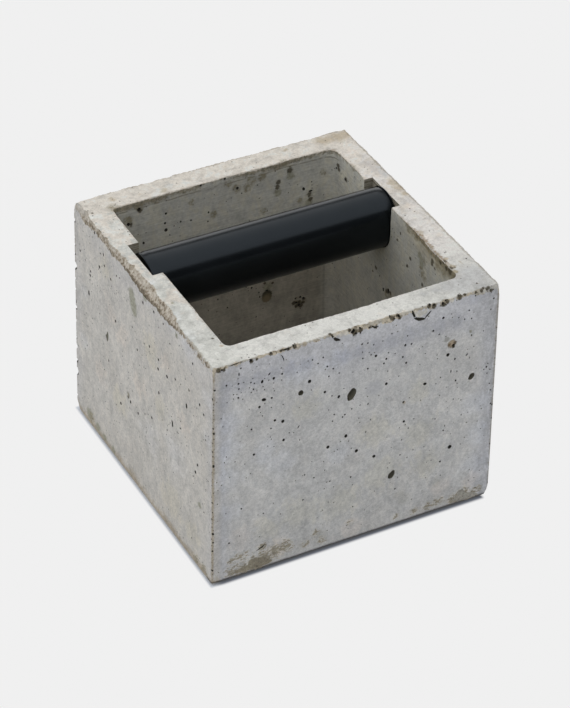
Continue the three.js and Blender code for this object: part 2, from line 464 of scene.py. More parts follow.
def arris_prism(start, end, down, across, widths, step, grain, seed, columns, bend=None):
    """A prism along an arris. widths(s) gives, in metres, how far it bites down one face and across the
    other, and bend(s) how far the arris itself stands back from the straight line."""
    length = (end - start).length
    rows = []
    for s in steps_between(-OVERRUN / 2, length + OVERRUN / 2, step):
        spot = start + (end - start) * (s / length) - across * (bend(s) if bend else 0)
        bite_down, bite_across = widths(s)
        edge_down = np.array((0.0, bite_down))
        edge_across = np.array((bite_across, 0.0))
        knee = np.array((bite_across, bite_down)) * HOLLOW
        line = [(-1.2 * MM, bite_down + 1.1 * MM), (-0.5 * MM, bite_down + 0.4 * MM)]
        for t in np.linspace(0, 1, columns):
            line.append((1 - t) ** 2 * edge_down + 2 * t * (1 - t) * knee + t * t * edge_across)
        line += [(bite_across + 0.4 * MM, -0.5 * MM), (bite_across + 1.1 * MM, -1.2 * MM)]
        row = []
        for p, q in line:
            here = spot + across * p + down * q
            crumb = grain * (rough(here, 1.1 * MM, seed) + 0.7 * rough(here, 2.6 * MM, seed + 9))
            row.append(here + (across + down) * (crumb * 0.7))
        far = PRISM_REACH
        row += [spot + across * (bite_across + 1.1 * MM) - down * far, spot - across * far - down * far,
                spot - across * far + down * (bite_down + 1.1 * MM)]
        rows.append(row)
    return loft(rows)


# In millimetres.
NARROWEST = 0.15


def widths_from(stops, ragged, seed):
    """Widths in metres from stops of (millimetres along, down, across), made ragged with noise."""
    along, down, across = (np.array(column, float) for column in zip(*stops))

    def tooth(place, k):
        broad, small = Vector((place / 4.5, seed, k)), Vector((place / 1.5, seed, k + 3))
        return ragged * (noise.noise(broad) + 0.55 * noise.noise(small))

    def widths(s):
        place = s / MM
        d = np.interp(place, along, down) + tooth(place, 0)
        a = np.interp(place, along, across) + tooth(place, 7)
        return max(d, NARROWEST) * MM, max(a, NARROWEST) * MM

    return widths


# %% The broken left arris and its fellows along Y
DOWN, UP = Vector((0, 0, -1)), Vector((0, 0, 1))
LEFT, RIGHT = Vector((-1, 0, 0)), Vector((1, 0, 0))
FRONT, BACK = Vector((0, -1, 0)), Vector((0, 1, 0))


def at_rim(x, y):
    return Vector((x, y, RIM_Z))


def at_base(x, y):
    return Vector((x, y, BASE_Z))


# Widths along each arris: how far along, how far down and how far across, in millimetres.
left_stops = [
    (0, 2.6, 0.7), (10, 4.0, 0.4), (20, 3.7, 0.4), (30, 2.8, 0.5), (36, 3.1, 0.9), (42, 4.2, 2.0),
    (50, 5.6, 3.8), (60, 4.9, 2.7), (70, 5.6, 4.0), (80, 5.4, 3.3), (90, 4.0, 2.4), (100, 3.4, 1.4),
    (110, 4.5, 1.1), (120, 3.4, 1.2), (130, 4.4, 0.5), (140, 5.4, 1.9), (148, 3.4, 1.4), (156, 2.6, 1.6),
]
thin_stops = [
    (0, 0.8, 0.6), (6, 0.3, 0.3), (45, 0.3, 0.3), (60, 0.4, 0.4), (75, 0.2, 0.2), (148, 0.3, 0.3),
    (156, 0.8, 0.7),
]
right_stops = [
    (0, 2.0, 1.7), (4, 1.1, 0.9), (10, 1.2, 1.0), (18, 1.1, 0.9), (22, 1.7, 1.4), (30, 1.2, 1.0),
    (50, 1.2, 1.0), (58, 0.9, 0.8), (61, 0.5, 0.4), (63, 0.5, 0.4), (66, 1.2, 1.0), (74, 1.0, 0.9),
    (86, 1.2, 1.0), (90, 1.5, 1.3), (100, 1.2, 1.0), (103, 0.9, 0.8), (106, 1.6, 1.4), (114, 1.2, 1.0),
    (128, 1.2, 1.0), (142, 1.5, 1.3), (146, 1.8, 1.5), (152, 1.3, 1.1),
]
back_stops = [
    (0, 2.6, 2.3), (4, 2.3, 2.0), (10, 2.1, 1.8), (14, 1.6, 1.4), (18, 1.6, 1.4), (22, 2.0, 1.8),
    (26, 1.3, 1.1), (30, 1.4, 1.2), (34, 2.0, 1.8), (38, 1.8, 1.6), (42, 2.2, 1.9), (46, 1.2, 1.0),
    (50, 2.1, 1.8), (54, 1.3, 1.1), (70, 1.5, 1.3), (74, 1.2, 1.0), (82, 1.3, 1.1), (90, 1.8, 1.5),
    (98, 1.8, 1.5), (106, 1.6, 1.3), (110, 1.5, 1.3), (118, 1.7, 1.4), (122, 2.0, 1.7), (126, 1.4, 1.2),
    (132, 1.9, 1.6), (142, 1.4, 1.2), (150, 1.6, 1.3),
]
lengthwise = Shapes()
lengthwise.add(*arris_prism(
    at_rim(-HALF_X, -HALF_Y), at_rim(-HALF_X, HALF_Y), DOWN, RIGHT,
    widths_from(left_stops, 0.8, 1.5), 0.5 * MM, 0.4 * MM, 1.0, columns=14))
lengthwise.add(*arris_prism(
    at_rim(HALF_X + RIGHT_OUT, -HALF_Y), at_rim(HALF_X + RIGHT_OUT, HALF_Y), DOWN, LEFT,
    widths_from(right_stops, 0.55, 2.5), 0.5 * MM, 0.3 * MM, 2.0, columns=6))
for side, inward, seed in ((-1, RIGHT, 3.0), (1, LEFT, 4.0)):
    lengthwise.add(*arris_prism(
        at_base(side * base_high.x, -base_high.y), at_base(side * base_high.x, base_high.y), UP, inward,
        widths_from(thin_stops, 0.3, seed), 0.9 * MM, 0.16 * MM, seed, columns=5))
cut("broken", lengthwise)

# %% The chipped front arris and its fellows along X
front_stops = [
    (0, 1.8, 0.9), (6, 1.9, 0.6), (10, 1.0, 0.5), (18, 1.0, 0.5), (22, 1.5, 0.7), (30, 1.5, 0.7),
    (34, 1.8, 0.9), (41, 1.6, 0.8), (44, 1.1, 0.5), (58, 1.1, 0.6), (62, 1.4, 0.6), (70, 2.0, 0.7),
    (73, 3.1, 1.0), (79, 3.0, 0.9), (84, 2.8, 0.9), (92, 2.6, 0.8), (97, 2.4, 0.7), (100, 1.9, 0.6),
    (106, 2.1, 0.6), (112, 1.6, 0.6), (114, 2.1, 0.9), (118, 1.6, 0.7), (121, 2.2, 0.9), (126, 1.5, 0.6),
    (129, 1.9, 0.8), (133, 1.7, 0.7), (138, 2.4, 0.9), (146, 3.0, 1.3), (152, 3.4, 2.4),
]
crosswise = Shapes()
crosswise.add(*arris_prism(
    at_rim(-HALF_X, -HALF_Y), at_rim(HALF_X, -HALF_Y), DOWN, BACK,
    widths_from(front_stops, 0.8, 5.5), 0.5 * MM, 0.36 * MM, 5.0, columns=9))
crosswise.add(*arris_prism(
    at_rim(-HALF_X, HALF_Y + BACK_OUT), at_rim(HALF_X, HALF_Y + BACK_OUT), DOWN, FRONT,
    widths_from(back_stops, 0.55, 6.5), 0.5 * MM, 0.34 * MM, 6.0, columns=6))
for side, inward, seed in ((-1, BACK, 7.0), (1, FRONT, 8.0)):
    crosswise.add(*arris_prism(
        at_base(-base_high.x, side * base_high.y), at_base(base_high.x, side * base_high.y), UP, inward,
        widths_from(thin_stops, 0.3, seed), 0.9 * MM, 0.16 * MM, seed, columns=5))
cut("broken", crosswise)

# %% The upright arrises
upright = Shapes()
calm_stops = [(0, 0.8, 0.7), (6, 0.4, 0.4), (60, 0.4, 0.4), (118, 0.4, 0.4), (124, 1.0, 0.9), (129, 2.0, 1.8)]
knocked_stops = [(0, 3.6, 2.8), (2, 2.4, 1.9), (5, 0.9, 0.7), (9, 0.4, 0.3), (40, 0.3, 0.3), (117, 0.3, 0.3),
                 (122, 1.2, 1.1), (125, 2.2, 2.0), (129, 3.6, 3.4)]
for seed, (side_x, side_y) in enumerate(((-1, -1), (1, -1), (-1, 1), (1, 1))):
    stops = calm_stops if side_x * side_y > 0 else knocked_stops
    upright.add(*arris_prism(
        at_base(side_x * base_high.x, side_y * base_high.y),
        at_rim(side_x * HALF_X + max(side_x, 0) * RIGHT_OUT, side_y * HALF_Y + max(side_y, 0) * BACK_OUT),
        Vector((0, -side_y, 0)), Vector((-side_x, 0, 0)),
        widths_from(stops, 0.4, 10.5 + seed), 0.7 * MM, 0.2 * MM, 11.0 + seed, columns=5))
cut("broken", upright)

# %% The inner arrises
inner_stops = [(0, 0.5, 0.3), (25, 0.8, 0.5), (45, 0.4, 0.3), (70, 0.9, 0.5), (95, 0.5, 0.4), (125, 0.8, 0.5)]
low_y, high_y = CAVITY_Y - CAVITY_HALF_Y, CAVITY_Y + CAVITY_HALF_Y
near_left, near_right = at_rim(-CAVITY_HALF_X, low_y), at_rim(CAVITY_HALF_X, low_y)
far_left, far_right = at_rim(-CAVITY_HALF_X, high_y), at_rim(CAVITY_HALF_X, high_y)
LIP_MARGIN = 5 * MM


def lip_prism(side, start, end, outward, seed):
    """The prism of one inner arris, which follows the wandering line of the rim."""
    inset = (end - start).normalized() * LIP_MARGIN
    start, end = start + inset, end - inset
    axis = 1 if abs(outward.x) > 0.5 else 0
    return arris_prism(
        start, end, DOWN, outward, widths_from(inner_stops, 0.6, seed), 0.7 * MM, 0.2 * MM, seed,
        columns=5, bend=lambda s: float(rim_wander(side, start[axis] + s)))


for pair in (
    (("back", far_left, far_right, BACK, 21.0), ("front", near_left, near_right, FRONT, 22.0)),
    (("left", near_left, far_left, LEFT, 23.0), ("right", near_right, far_right, RIGHT, 24.0)),
):
    lips = Shapes()
    for line in pair:
        lips.add(*lip_prism(*line))
    cut("broken", lips)

# %% [markdown]
# ## Pores
#
# Air bubbles against the mould leave round pores, which makers call bug holes. The larger ones are cut:
# those that the photograph shows are set by their place in it, and the faces that it doesn't show get a
# seeded scatter of the same kind. Each is a slightly lumpy ball sunk a little below the face, so that its
# edge is sharp.

# %% A lumpy ball
BALLS = {}
for detail in (1, 2, 3):
    made = bmesh.new()
    bmesh.ops.create_icosphere(made, subdivisions=detail, radius=1.0)
    BALLS[detail] = ([v.co.copy() for v in made.verts], [[v.index for v in f.verts] for f in made.faces])
    made.free()


FACET_LOSS = 1.14
FINE_FROM, FINEST_FROM = 1.3 * MM, 3.2 * MM


def pore(centre, normal, width, height, tilt, depth, seed, lump=0.18):
    """Points and faces of one pore in a face whose outward normal is given. Sizes are in metres. A ball of
    few facets is smaller than its round form and it is sunk a little, so it is made larger by FACET_LOSS."""
    depth = depth or 0.75 * min(width, height)
    largest = max(width, height)
    detail = 1 if largest < FINE_FROM else 2 if largest < FINEST_FROM else 3
    points, faces = BALLS[detail]
    upward = UP if abs(normal.z) < 0.7 else BACK
    sideways = upward.cross(normal).normalized()
    upward = normal.cross(sideways).normalized()
    turn = Matrix.Rotation(math.radians(tilt), 3, normal)
    sideways, upward = turn @ sideways, turn @ upward
    middle = centre - normal * (0.35 * depth)
    width, height = width * FACET_LOSS, height * FACET_LOSS
    shaped = []
    for p in points:
        swell = 1 + lump * noise.noise(p * 1.3 + Vector((seed, seed * 3, 1)))
        offset = sideways * p.x * width / 2 + upward * p.y * height / 2 + normal * p.z * depth
        shaped.append(middle + offset * swell)
    return shaped, faces


# %% The faces as planes
def leaning(point, normal, lean, height):
    """The plane of a wall face that leans by lean over the given height."""
    return point, (normal + UP * (lean / height)).normalized()


OUT_HEIGHT, IN_HEIGHT = RIM_Z - BASE_Z, RIM_Z - FLOOR_Z
# Each face's plane is a point at the rim and the normal that points out of the concrete.
PLANES = {
    "front": leaning(at_rim(0, -HALF_Y), FRONT, OUTSIDE_DRAFT, OUT_HEIGHT),
    "back": leaning(at_rim(0, HALF_Y), BACK, OUTSIDE_DRAFT, OUT_HEIGHT),
    "left": leaning(at_rim(-HALF_X, 0), LEFT, OUTSIDE_DRAFT, OUT_HEIGHT),
    "right": leaning(at_rim(HALF_X, 0), RIGHT, OUTSIDE_DRAFT, OUT_HEIGHT),
    "rim": (at_rim(0, 0), UP),
    "inner back": leaning(at_rim(0, high_y), FRONT, CAVITY_DRAFT, IN_HEIGHT),
    "inner front": leaning(at_rim(0, low_y), BACK, CAVITY_DRAFT, IN_HEIGHT),
    "inner right": leaning(at_rim(CAVITY_HALF_X, 0), LEFT, CAVITY_DRAFT, IN_HEIGHT),
    "inner left": leaning(at_rim(-CAVITY_HALF_X, 0), RIGHT, CAVITY_DRAFT, IN_HEIGHT),
}

# %% Pores that the photograph shows
# Each one is its place in pixels and its width in millimetres, or its width, height and tilt in degrees.
SEEN = {
    "front": (
        (351.6, 394.3, 4.0, 6.8, -24), (301, 393, 2.8, 3.0, 0), (391.4, 474.8, 3.2, 4.6, -32),
        (471.6, 376.2, 2.8, 4.0, -26), (448, 355, 1.7, 1.9, -20), (425, 384, 1.9, 1.5, -20),
        (449.6, 447, 2.0), (374, 456.4, 1.6), (356.4, 451, 1.7), (346, 436, 1.7), (328, 447.1, 1.6),
        (339, 396.8, 1.3, 1.7, -30), (325, 392.2, 1.3), (309.7, 381.6, 1.7), (283, 421.4, 1.6),
        (275, 420.6, 1.2), (283.7, 440, 1.3), (264, 399.9, 2.3, 1.7, -20), (271.8, 398.1, 1.1),
        (259.6, 407.2, 1.2), (273.9, 378.5, 1.2, 1.5, -10), (262.3, 381.8, 1.2, 1.8, -10),
        (238.6, 384, 1.1), (239, 389.2, 0.9), (226.5, 385.8, 0.9), (251, 382.8, 0.9), (251.6, 429.6, 1.0),
        (254, 454.7, 1.2), (386.4, 383.9, 1.4), (386.4, 359, 1.1), (376, 356, 1.3), (384, 363.5, 1.0),
        (402.9, 357.1, 1.1), (406.2, 362.9, 1.1), (405.4, 345.3, 1.2), (411.7, 344, 1.0),
        (367.9, 368.8, 1.0), (362.9, 358.6, 0.9), (368.1, 404.1, 0.9), (403.9, 421.6, 1.2),
        (403.6, 402.1, 0.9, 1.4, -40), (327.4, 366.7, 1.0), (329, 376.4, 0.9), (312.6, 360, 0.9),
        (318.1, 363.7, 0.8), (339.3, 373.1, 0.8), (362.1, 344.3, 0.9, 1.2, -40), (367.9, 343.2, 0.9),
        (453.4, 345, 1.5, 1.2, 30), (443.5, 318, 1.2), (433.5, 331, 1.1), (455, 359, 1.1),
        (455.7, 380.6, 1.1), (440, 461.6, 1.1), (400, 455, 0.8), (395, 489, 0.9), (350.7, 477.1, 1.0),
        (304.7, 475, 0.8), (303, 500, 0.9), (345, 414.7, 0.9), (334.3, 414.6, 0.9), (342.6, 417.1, 0.9),
        (351.9, 409, 0.8), (366, 431.7, 0.7), (332.1, 396, 0.8), (486.5, 367, 1.1), (490, 369.4, 0.8),
        (469.4, 310.6, 0.9), (494, 298.4, 1.0), (490.6, 403.5, 1.0), (489.4, 383.5, 0.8),
        (241.4, 508.9, 1.0), (229.2, 543.4, 1.0), (282.2, 374, 1.1), (269.5, 374, 0.7, 1.6, -35),
        (268.9, 380.3, 0.7), (264.9, 378.6, 0.6), (273.8, 383.1, 0.6), (253.6, 389.4, 0.9),
        (251.4, 392.5, 0.7), (264.6, 389.8, 0.7), (263.1, 386.8, 0.6), (243.9, 382.5, 0.6),
        (252.9, 378.6, 0.6), (239.1, 374.5, 0.6, 1.8, 0), (241, 368.4, 0.9), (233.6, 394.8, 0.7),
        (237.1, 394.7, 0.6), (241.3, 392.9, 0.6), (249.5, 388, 0.6), (232.3, 386.2, 0.5),
        (233.6, 399.2, 0.6), (262.5, 416.1, 0.7), (249.5, 409.5, 0.5), (271.1, 428.6, 0.8),
        (289.3, 432.9, 0.7), (293.8, 432.9, 0.6), (274, 446.7, 0.6), (352.9, 506.7, 0.8), (333.7, 487, 0.6),
        (340.6, 441.7, 0.6), (490.4, 390, 0.9), (413.9, 418.9, 0.7), (439.8, 395.3, 0.7), (436, 383.8, 0.6),
        (409.4, 397.9, 0.6), (491, 309.4, 0.8), (458.9, 317.7, 0.8), (475.8, 295.8, 0.9), (488, 363.5, 0.7),
        (484, 369.4, 0.8), (487, 373.4, 0.8), (457.2, 383.4, 0.6), (440.6, 377.5, 0.7),
        (466.8, 354.8, 0.7, 1.4, -40), (451, 371.4, 0.6, 1.6, 0), (457, 371.4, 0.6, 1.2, 0),
        (471.6, 335, 0.6),
    ),
    "left": (
        (107.3, 336.6, 2.0, 5.6, -8), (88.8, 293, 1.5, 3.0, 0), (90.4, 271.6, 1.2), (90, 275.4, 1.5),
        (99.3, 267, 1.6), (104.4, 266, 1.2), (110.6, 279.4, 1.3), (116.5, 276, 1.0), (119.6, 278, 1.0),
        (142.8, 302.8, 1.3, 1.9, 0), (153.6, 312, 1.3, 1.6, 0), (80, 250.5, 1.2), (163.1, 324, 1.1),
        (132, 327, 1.0), (115.4, 321.2, 1.4, 1.6, 0), (149.2, 346.6, 1.2, 1.5, 0), (143.9, 343.6, 1.0),
        (137, 349.8, 1.2), (169.6, 343.9, 1.0), (158.3, 359.7, 1.2), (192.5, 363.8, 1.2), (157.9, 369, 1.5),
        (166.8, 376.7, 1.6), (175, 379.3, 1.2), (182.7, 349.6, 0.8), (108.6, 360.6, 1.1),
        (103.2, 254.7, 0.9, 2.0, 0), (94.3, 232.9, 0.9, 2.0, -15), (100.1, 253.4, 1.0), (120.7, 403.5, 1.5),
        (130.4, 402, 1.5), (158.6, 392.9, 1.2, 1.8, 0), (138, 413.4, 1.3), (151.7, 417.8, 1.4),
        (186.2, 406.1, 1.7, 2.6, 5), (199.4, 404.9, 1.3), (203.5, 414.9, 1.2), (172.2, 423.7, 1.4, 3.6, 14),
        (180, 428.4, 1.1), (167, 430.2, 1.0), (177.8, 433.1, 1.0), (197.3, 465.1, 1.4), (195.2, 472.1, 1.6),
        (192.8, 476, 0.9), (203.8, 512.5, 1.0), (191.6, 538, 0.9), (207.9, 481.2, 0.9),
    ),
    "inner back": (
        (166.4, 230.4, 1.7), (166.4, 214, 1.2), (165.4, 223.6, 1.2), (181, 222.1, 1.1), (191.4, 220.8, 1.0),
        (208.3, 221.9, 1.0), (208.9, 213, 1.1), (201.4, 186.2, 1.3), (225.4, 179.5, 1.3),
        (237.9, 188.9, 1.5), (139.3, 209.8, 1.7), (128.6, 224.7, 1.6, 2.0, 30), (218, 299.5, 0.9),
        (256.3, 317.2, 0.9), (300.2, 297, 1.2), (303.4, 298.4, 1.5), (296.2, 302.6, 1.2), (299, 305, 1.3),
        (295.4, 298.6, 0.9), (302, 303, 0.9), (259, 292.7, 0.9), (251.8, 288, 1.1),
        (266.8, 290.4, 1.4, 0.8, 0), (311, 191.4, 2.2, 1.2, 0),
    ),
    "inner right": (
        (337.6, 167.3, 1.9, 3.4, 0), (345.7, 179.3, 1.8, 1.9, 0), (337.8, 187.6, 0.9), (354.7, 181, 0.9),
        (397.3, 239.8, 1.2), (400, 232.9, 0.8), (410.6, 258.4, 1.4), (407.3, 265.8, 1.4), (415.4, 238.6, 0.8),
        (432.8, 262.3, 1.4, 2.6, 10), (422.2, 284.9, 1.2), (388.3, 291.2, 1.6, 2.6, 0),
    ),
    "rim": ((466.2, 258.4, 0.8), (476.8, 282.9, 0.9), (409.8, 208.6, 0.7)),
}
# This one is nearly full of mortar.
FILLED = {(107.3, 336.6)}
FILLED_DEPTH = 0.35 * MM
WIDE_FROM = 2.1
small_pores, wide_pores = Shapes(), Shapes()
taken = []
for face, entries in SEEN.items():
    plane_point, plane_normal = PLANES[face]
    for count, entry in enumerate(entries):
        x, y, width = entry[:3]
        height, tilt = (entry[3], entry[4]) if len(entry) == 5 else (width * 1.1, 0.0)
        spot = on_plane(x, y, plane_point, plane_normal)
        filled = (x, y) in FILLED
        depth = FILLED_DEPTH if filled else None
        group = wide_pores if min(width, height) > WIDE_FROM or filled else small_pores
        group.add(*pore(spot, plane_normal, width * MM, height * MM, tilt, depth, count * 0.7))
        taken.append((spot, max(width, height) * MM / 2))
print(len(taken), "pores placed by the photograph")

# %% A scatter of small pores on every face
dice = random.Random(41)
# The large stain on the left face stays free of pores.
STAIN_PLACES, STAIN_RADIUS = ((132, 294), (133, 302), (134, 310)), 4 * MM
taken += [(on_plane(x, y, *PLANES["left"]), STAIN_RADIUS) for x, y in STAIN_PLACES]
# How many, from where to where along the face and between which heights. Outer faces that the photograph
# shows get only tiny ones, because their larger pores are placed above.
SCATTER = {
    "front": (90, -72, 72, 8, 118), "left": (90, -72, 72, 8, 118),
    "right": (110, -72, 72, 5, 122), "back": (120, -72, 72, 5, 122),
    "inner back": (30, -54, 54, 24, 120), "inner front": (40, -54, 54, 24, 120),
    "inner right": (30, -54, 54, 24, 120), "inner left": (40, -54, 54, 24, 120),
}


def drop_on(face, along, z):
    """A point of an upright face at a place along it and a height."""
    point, normal = PLANES[face]
    flat = Vector((abs(normal.y) > 0.5, abs(normal.x) > 0.5, 0))
    spot = flat * along + UP * z
    return spot - normal * (spot - point).dot(normal)


for face, (number, low, high, bottom, top) in SCATTER.items():
    largest = 0.35 if face in ("front", "left") else 1.1
    for _ in range(number):
        along = dice.uniform(low, high) * MM
        z = (bottom + (top - bottom) * dice.random() ** 0.6) * MM
        size = (0.5 + 0.2 * largest + largest * dice.random() ** 4) * MM
        wide = face in ("right", "back") and dice.random() < 0.05
        if wide:
            size = dice.uniform(2.2, 3.8) * MM
        height = size * dice.uniform(1.0, 1.5)
        tilt = dice.uniform(-30, 30)
        seed = dice.uniform(0, 50)
        spot = drop_on(face, along, z)
        if any((spot - other).length < height + reach + 0.5 * MM for other, reach in taken):
            continue
        taken.append((spot, height / 2))
        group = wide_pores if wide else small_pores
        group.add(*pore(spot, PLANES[face][1], size, height, tilt, None, seed))
cut("pore", small_pores)
cut("wide_pore", wide_pores)
print(len(taken), "pores in all")

# %% Nicks down the upright arrises
# For each corner: the smallest size, how much larger they get, the smallest gap between them and how much
# wider it gets, all in millimetres.
NICKS = {
    (-1, -1): (0.5, 0.6, 0.2, 3.4), (1, -1): (0.5, 0.5, 1.6, 6.0),
    (-1, 1): (1.3, 1.6, 0.3, 4.0), (1, 1): (0.8, 1.0, 2.0, 8.0),
}
NICKS_FROM, NICKS_BELOW_RIM, NICK_INSET = 7 * MM, 10 * MM, 0.35 * MM
nicks = Shapes()
for (corner_x, corner_y), (smallest, larger, gap, more) in NICKS.items():
    z = NICKS_FROM
    out = Vector((corner_x, corner_y, 0)).normalized()
    while z < RIM_Z - NICKS_BELOW_RIM:
        lean = outside_lean(z)
        size = (smallest + larger * dice.random() ** 2) * MM
        height = size * dice.uniform(0.8, 1.7)
        room = 0.8 * height
        x = HALF_X + lean - NICK_INSET + (RIGHT_OUT * z / RIM_Z if corner_x > 0 else 0)
        y = HALF_Y + lean - NICK_INSET + (BACK_OUT * z / RIM_Z if corner_y > 0 else 0)
        sideways = Vector((-out.y, out.x, 0)) * (dice.uniform(-0.6, 0.6) * MM)
        spot = Vector((corner_x * x, corner_y * y, z + room)) + sideways
        nicks.add(*pore(spot, out, size, height, 0, 0.6 * size, z / MM, 0.5))
        z += 2 * room + (gap + more * dice.random()) * MM
cut("pore", nicks)

# %% [markdown]
# ## Chips, cracks and peeled skin
#
# Along the front arris a few flakes have cracked without falling, and crumbs have left holes. Near the
# bottom the cement skin has peeled in thin patches. A crack is a thin wedge along a line, and a peeled
# patch is a shallow ragged hollow with a rough bottom.


# %% Holes on the front arris
# Each is its place in pixels and its width, height and depth in millimetres.
ARRIS_HOLES = (
    (250.6, 360.8, 1.7, 1.5, 1.0), (222, 370.4, 1.2, 0.9, 0.5), (271.6, 353.6, 0.9, 0.8, 0.5),
    (294.2, 346.4, 1.1, 1.0, 0.6), (353.6, 331.6, 2.2, 1.7, 1.3), (356, 333.4, 1.3, 1.1, 0.9),
    (360.4, 328.6, 1.0, 1.1, 0.6), (360.6, 333, 0.9, 1.0, 0.6), (391, 317.4, 1.2, 1.2, 0.8),
    (394.6, 319, 1.1, 0.9, 0.8), (399.4, 316.6, 0.9, 1.8, 0.8), (369.6, 327.6, 0.9, 0.7, 0.5),
    (430.6, 305.8, 1.3, 0.9, 0.8), (434.6, 305.4, 1.3, 0.9, 0.8), (443, 303.8, 1.3, 1.3, 0.9),
    (446.4, 301.4, 1.1, 0.9, 0.7), (459.4, 296.6, 1.1, 1.1, 0.8), (464.4, 294.6, 0.8, 0.6, 0.4),
    (480.6, 290.6, 0.9, 0.8, 0.5), (486.4, 288.6, 0.8, 0.9, 0.5), (490.6, 290.4, 0.8, 0.8, 0.4),
    (484, 287.8, 0.6, 0.5, 0.5), (488.6, 287, 0.6, 0.7, 0.5), (492.4, 286.6, 0.6, 0.6, 0.5),
    (493.6, 289.6, 0.5, 0.6, 0.4), (491.6, 292.6, 0.5, 0.6, 0.4), (488, 291.6, 0.5, 0.5, 0.4),
    (483.4, 291.4, 0.5, 0.5, 0.4),
)
HOLE_TILT = 12
arris_holes = Shapes()
plane_point, plane_normal = PLANES["front"]
for count, (x, y, width, height, depth) in enumerate(ARRIS_HOLES):
    arris_holes.add(*pore(
        on_plane(x, y, plane_point, plane_normal), plane_normal, width * MM, height * MM, HOLE_TILT,
        2 * depth * MM, count * 1.7, 0.7))
cut("pore", arris_holes)


# %% Cracks
CRACK_STEPS = 4


def crack(pixels, face, width, depth):
    """A thin wedge along a line of pixels on a face. Its width and depth are in millimetres."""
    point, normal = PLANES[face]
    fine = []
    for (x0, y0), (x1, y1) in zip(pixels, pixels[1:]):
        for k in range(CRACK_STEPS):
            fine.append((x0 + (x1 - x0) * k / CRACK_STEPS, y0 + (y1 - y0) * k / CRACK_STEPS))
    fine.append(pixels[-1])
    spots = [on_plane(x, y, point, normal) for x, y in fine]
    rows = []
    for k, spot in enumerate(spots):
        ahead = (spots[min(k + 1, len(spots) - 1)] - spots[max(k - 1, 0)]).normalized()
        side = ahead.cross(normal)
        end = 0.3 + 0.7 * math.sin(math.pi * (k + 0.5) / len(spots))
        half = width * MM / 2 * end * (1 + 0.35 * rough(spot, 0.8 * MM, 3))
        spot = spot + side * (0.18 * MM * rough(spot, 1.0 * MM, 8))
        bottom = spot - normal * (depth * MM * end)
        rows.append([spot + side * half, spot + normal * MM, spot - side * half, bottom])
    return loft(rows)


cracks = Shapes()
for pixels, width in (
    (((412.4, 310.6), (413.6, 314.4), (415.4, 318)), 1.5),
    (((414.4, 318), (419, 319.4), (425.6, 318.9)), 2.1),
    (((425.2, 318.2), (427.2, 315.6), (431.6, 310.6)), 1.0), (((330.8, 334.6), (334, 338.2)), 1.2),
    (((333.4, 337.6), (336.6, 339.8), (340.6, 340)), 1.7),
    (((277.6, 351.6), (284, 350.2), (290, 348.4), (294.6, 346.4)), 1.2),
    (((229.5, 366.6), (233, 365.4), (237, 363.8), (241, 362.8), (244.4, 361)), 0.7),
    (((280.8, 355), (282.8, 356.8), (283.8, 359), (284, 361.6)), 0.6),
    (((371.6, 325.6), (375, 327.8), (378.6, 326.2)), 1.0),
    (((264.9, 544.6), (261.5, 547.5), (256.5, 551)), 0.9), (((299.5, 425.4), (297.6, 428.6)), 0.6),
):
    cracks.add(*crack(pixels, "front", width, 0.9))
for pixels, width in (
    (((141.4, 289), (143.6, 295.5), (147.4, 300)), 0.5), (((174.8, 331), (176.6, 336), (177, 339.5)), 0.5),
):
    cracks.add(*crack(pixels, "left", width, 0.5))
cut("crack", cracks)

scratches = Shapes()
for pixels, width in (
    (((222, 347.4), (236, 348), (250, 346.4), (264, 343.8), (278, 341), (292, 338.6)), 0.4),
    (((229, 352), (232.6, 355.4), (231.4, 358.6)), 0.4),
    (((237.4, 350.4), (240.6, 353.6), (241.6, 357.4)), 0.4), (((214, 349.6), (221, 349.2)), 0.2),
    (((296, 343), (301, 340.4), (303.4, 336.6)), 0.2),
):
    scratches.add(*crack(pixels, "rim", width, 0.12))
cut("scratch", scratches)


# %% Peeled patches
PATCH_STEPS = 8


def peeled(pixels, face, depth):
    """A shallow hollow with a ragged outline, given by pixels, and a rough bottom."""
    point, normal = PLANES[face]
    corners = [on_plane(x, y, point, normal) for x, y in pixels]
    edge = []
    for a, b in zip(corners, corners[1:] + corners[:1]):
        for k in range(PATCH_STEPS):
            edge.append(a + (b - a) * (k / PATCH_STEPS))
    middle = sum(edge, Vector()) / len(edge)
    edge = [p + (p - middle).normalized() * (0.8 * MM * rough(p, 1.3 * MM, 5)) for p in edge]
    rows = [[p + normal * MM for p in edge], [p - normal * (depth * 0.5) for p in edge]]
    for share in (0.9, 0.72, 0.5, 0.28, 0.1):
        rows.append([
            middle + (p - middle) * share - normal * depth * (1 + 0.6 * rough(p * share, 1.5 * MM, 6))
            for p in edge])
    return loft(rows)


patches = Shapes()
patches.add(*peeled((
    (250.6, 559.3), (257.3, 557.1), (264, 557), (268.4, 559.6), (272, 559.6), (272, 561.6), (266.2, 564.4),
    (253.5, 569), (242, 572.4), (234, 574), (236.4, 571.2), (242.7, 567.4), (248, 565)), "front", 0.3 * MM))
patches.add(*peeled((
    (457.3, 491.5), (462.7, 489.2), (465.8, 492.8), (470.3, 492), (477.2, 493.5), (477.9, 495), (470.1, 498),
    (459.1, 500.6), (453.6, 501.2), (453.6, 498.4), (456.6, 495.6)), "front", 0.25 * MM))
cut("peeled", patches)

# %% [markdown]
# ## Marks for the finish
#
# The material has to know which faces are cast skin, which are broken mortar and which lie inside the box.
# The marks left by the cutters become plain numbers stored on the faces, which a shader can read by name.

# %% Store the marks
mesh = body.data


def store(name, values, domain):
    """Keeps one number for each point or face of the concrete under a name."""
    attribute = mesh.attributes.new(name, "FLOAT", domain)
    attribute.data.foreach_set("value", values.astype(np.float32))


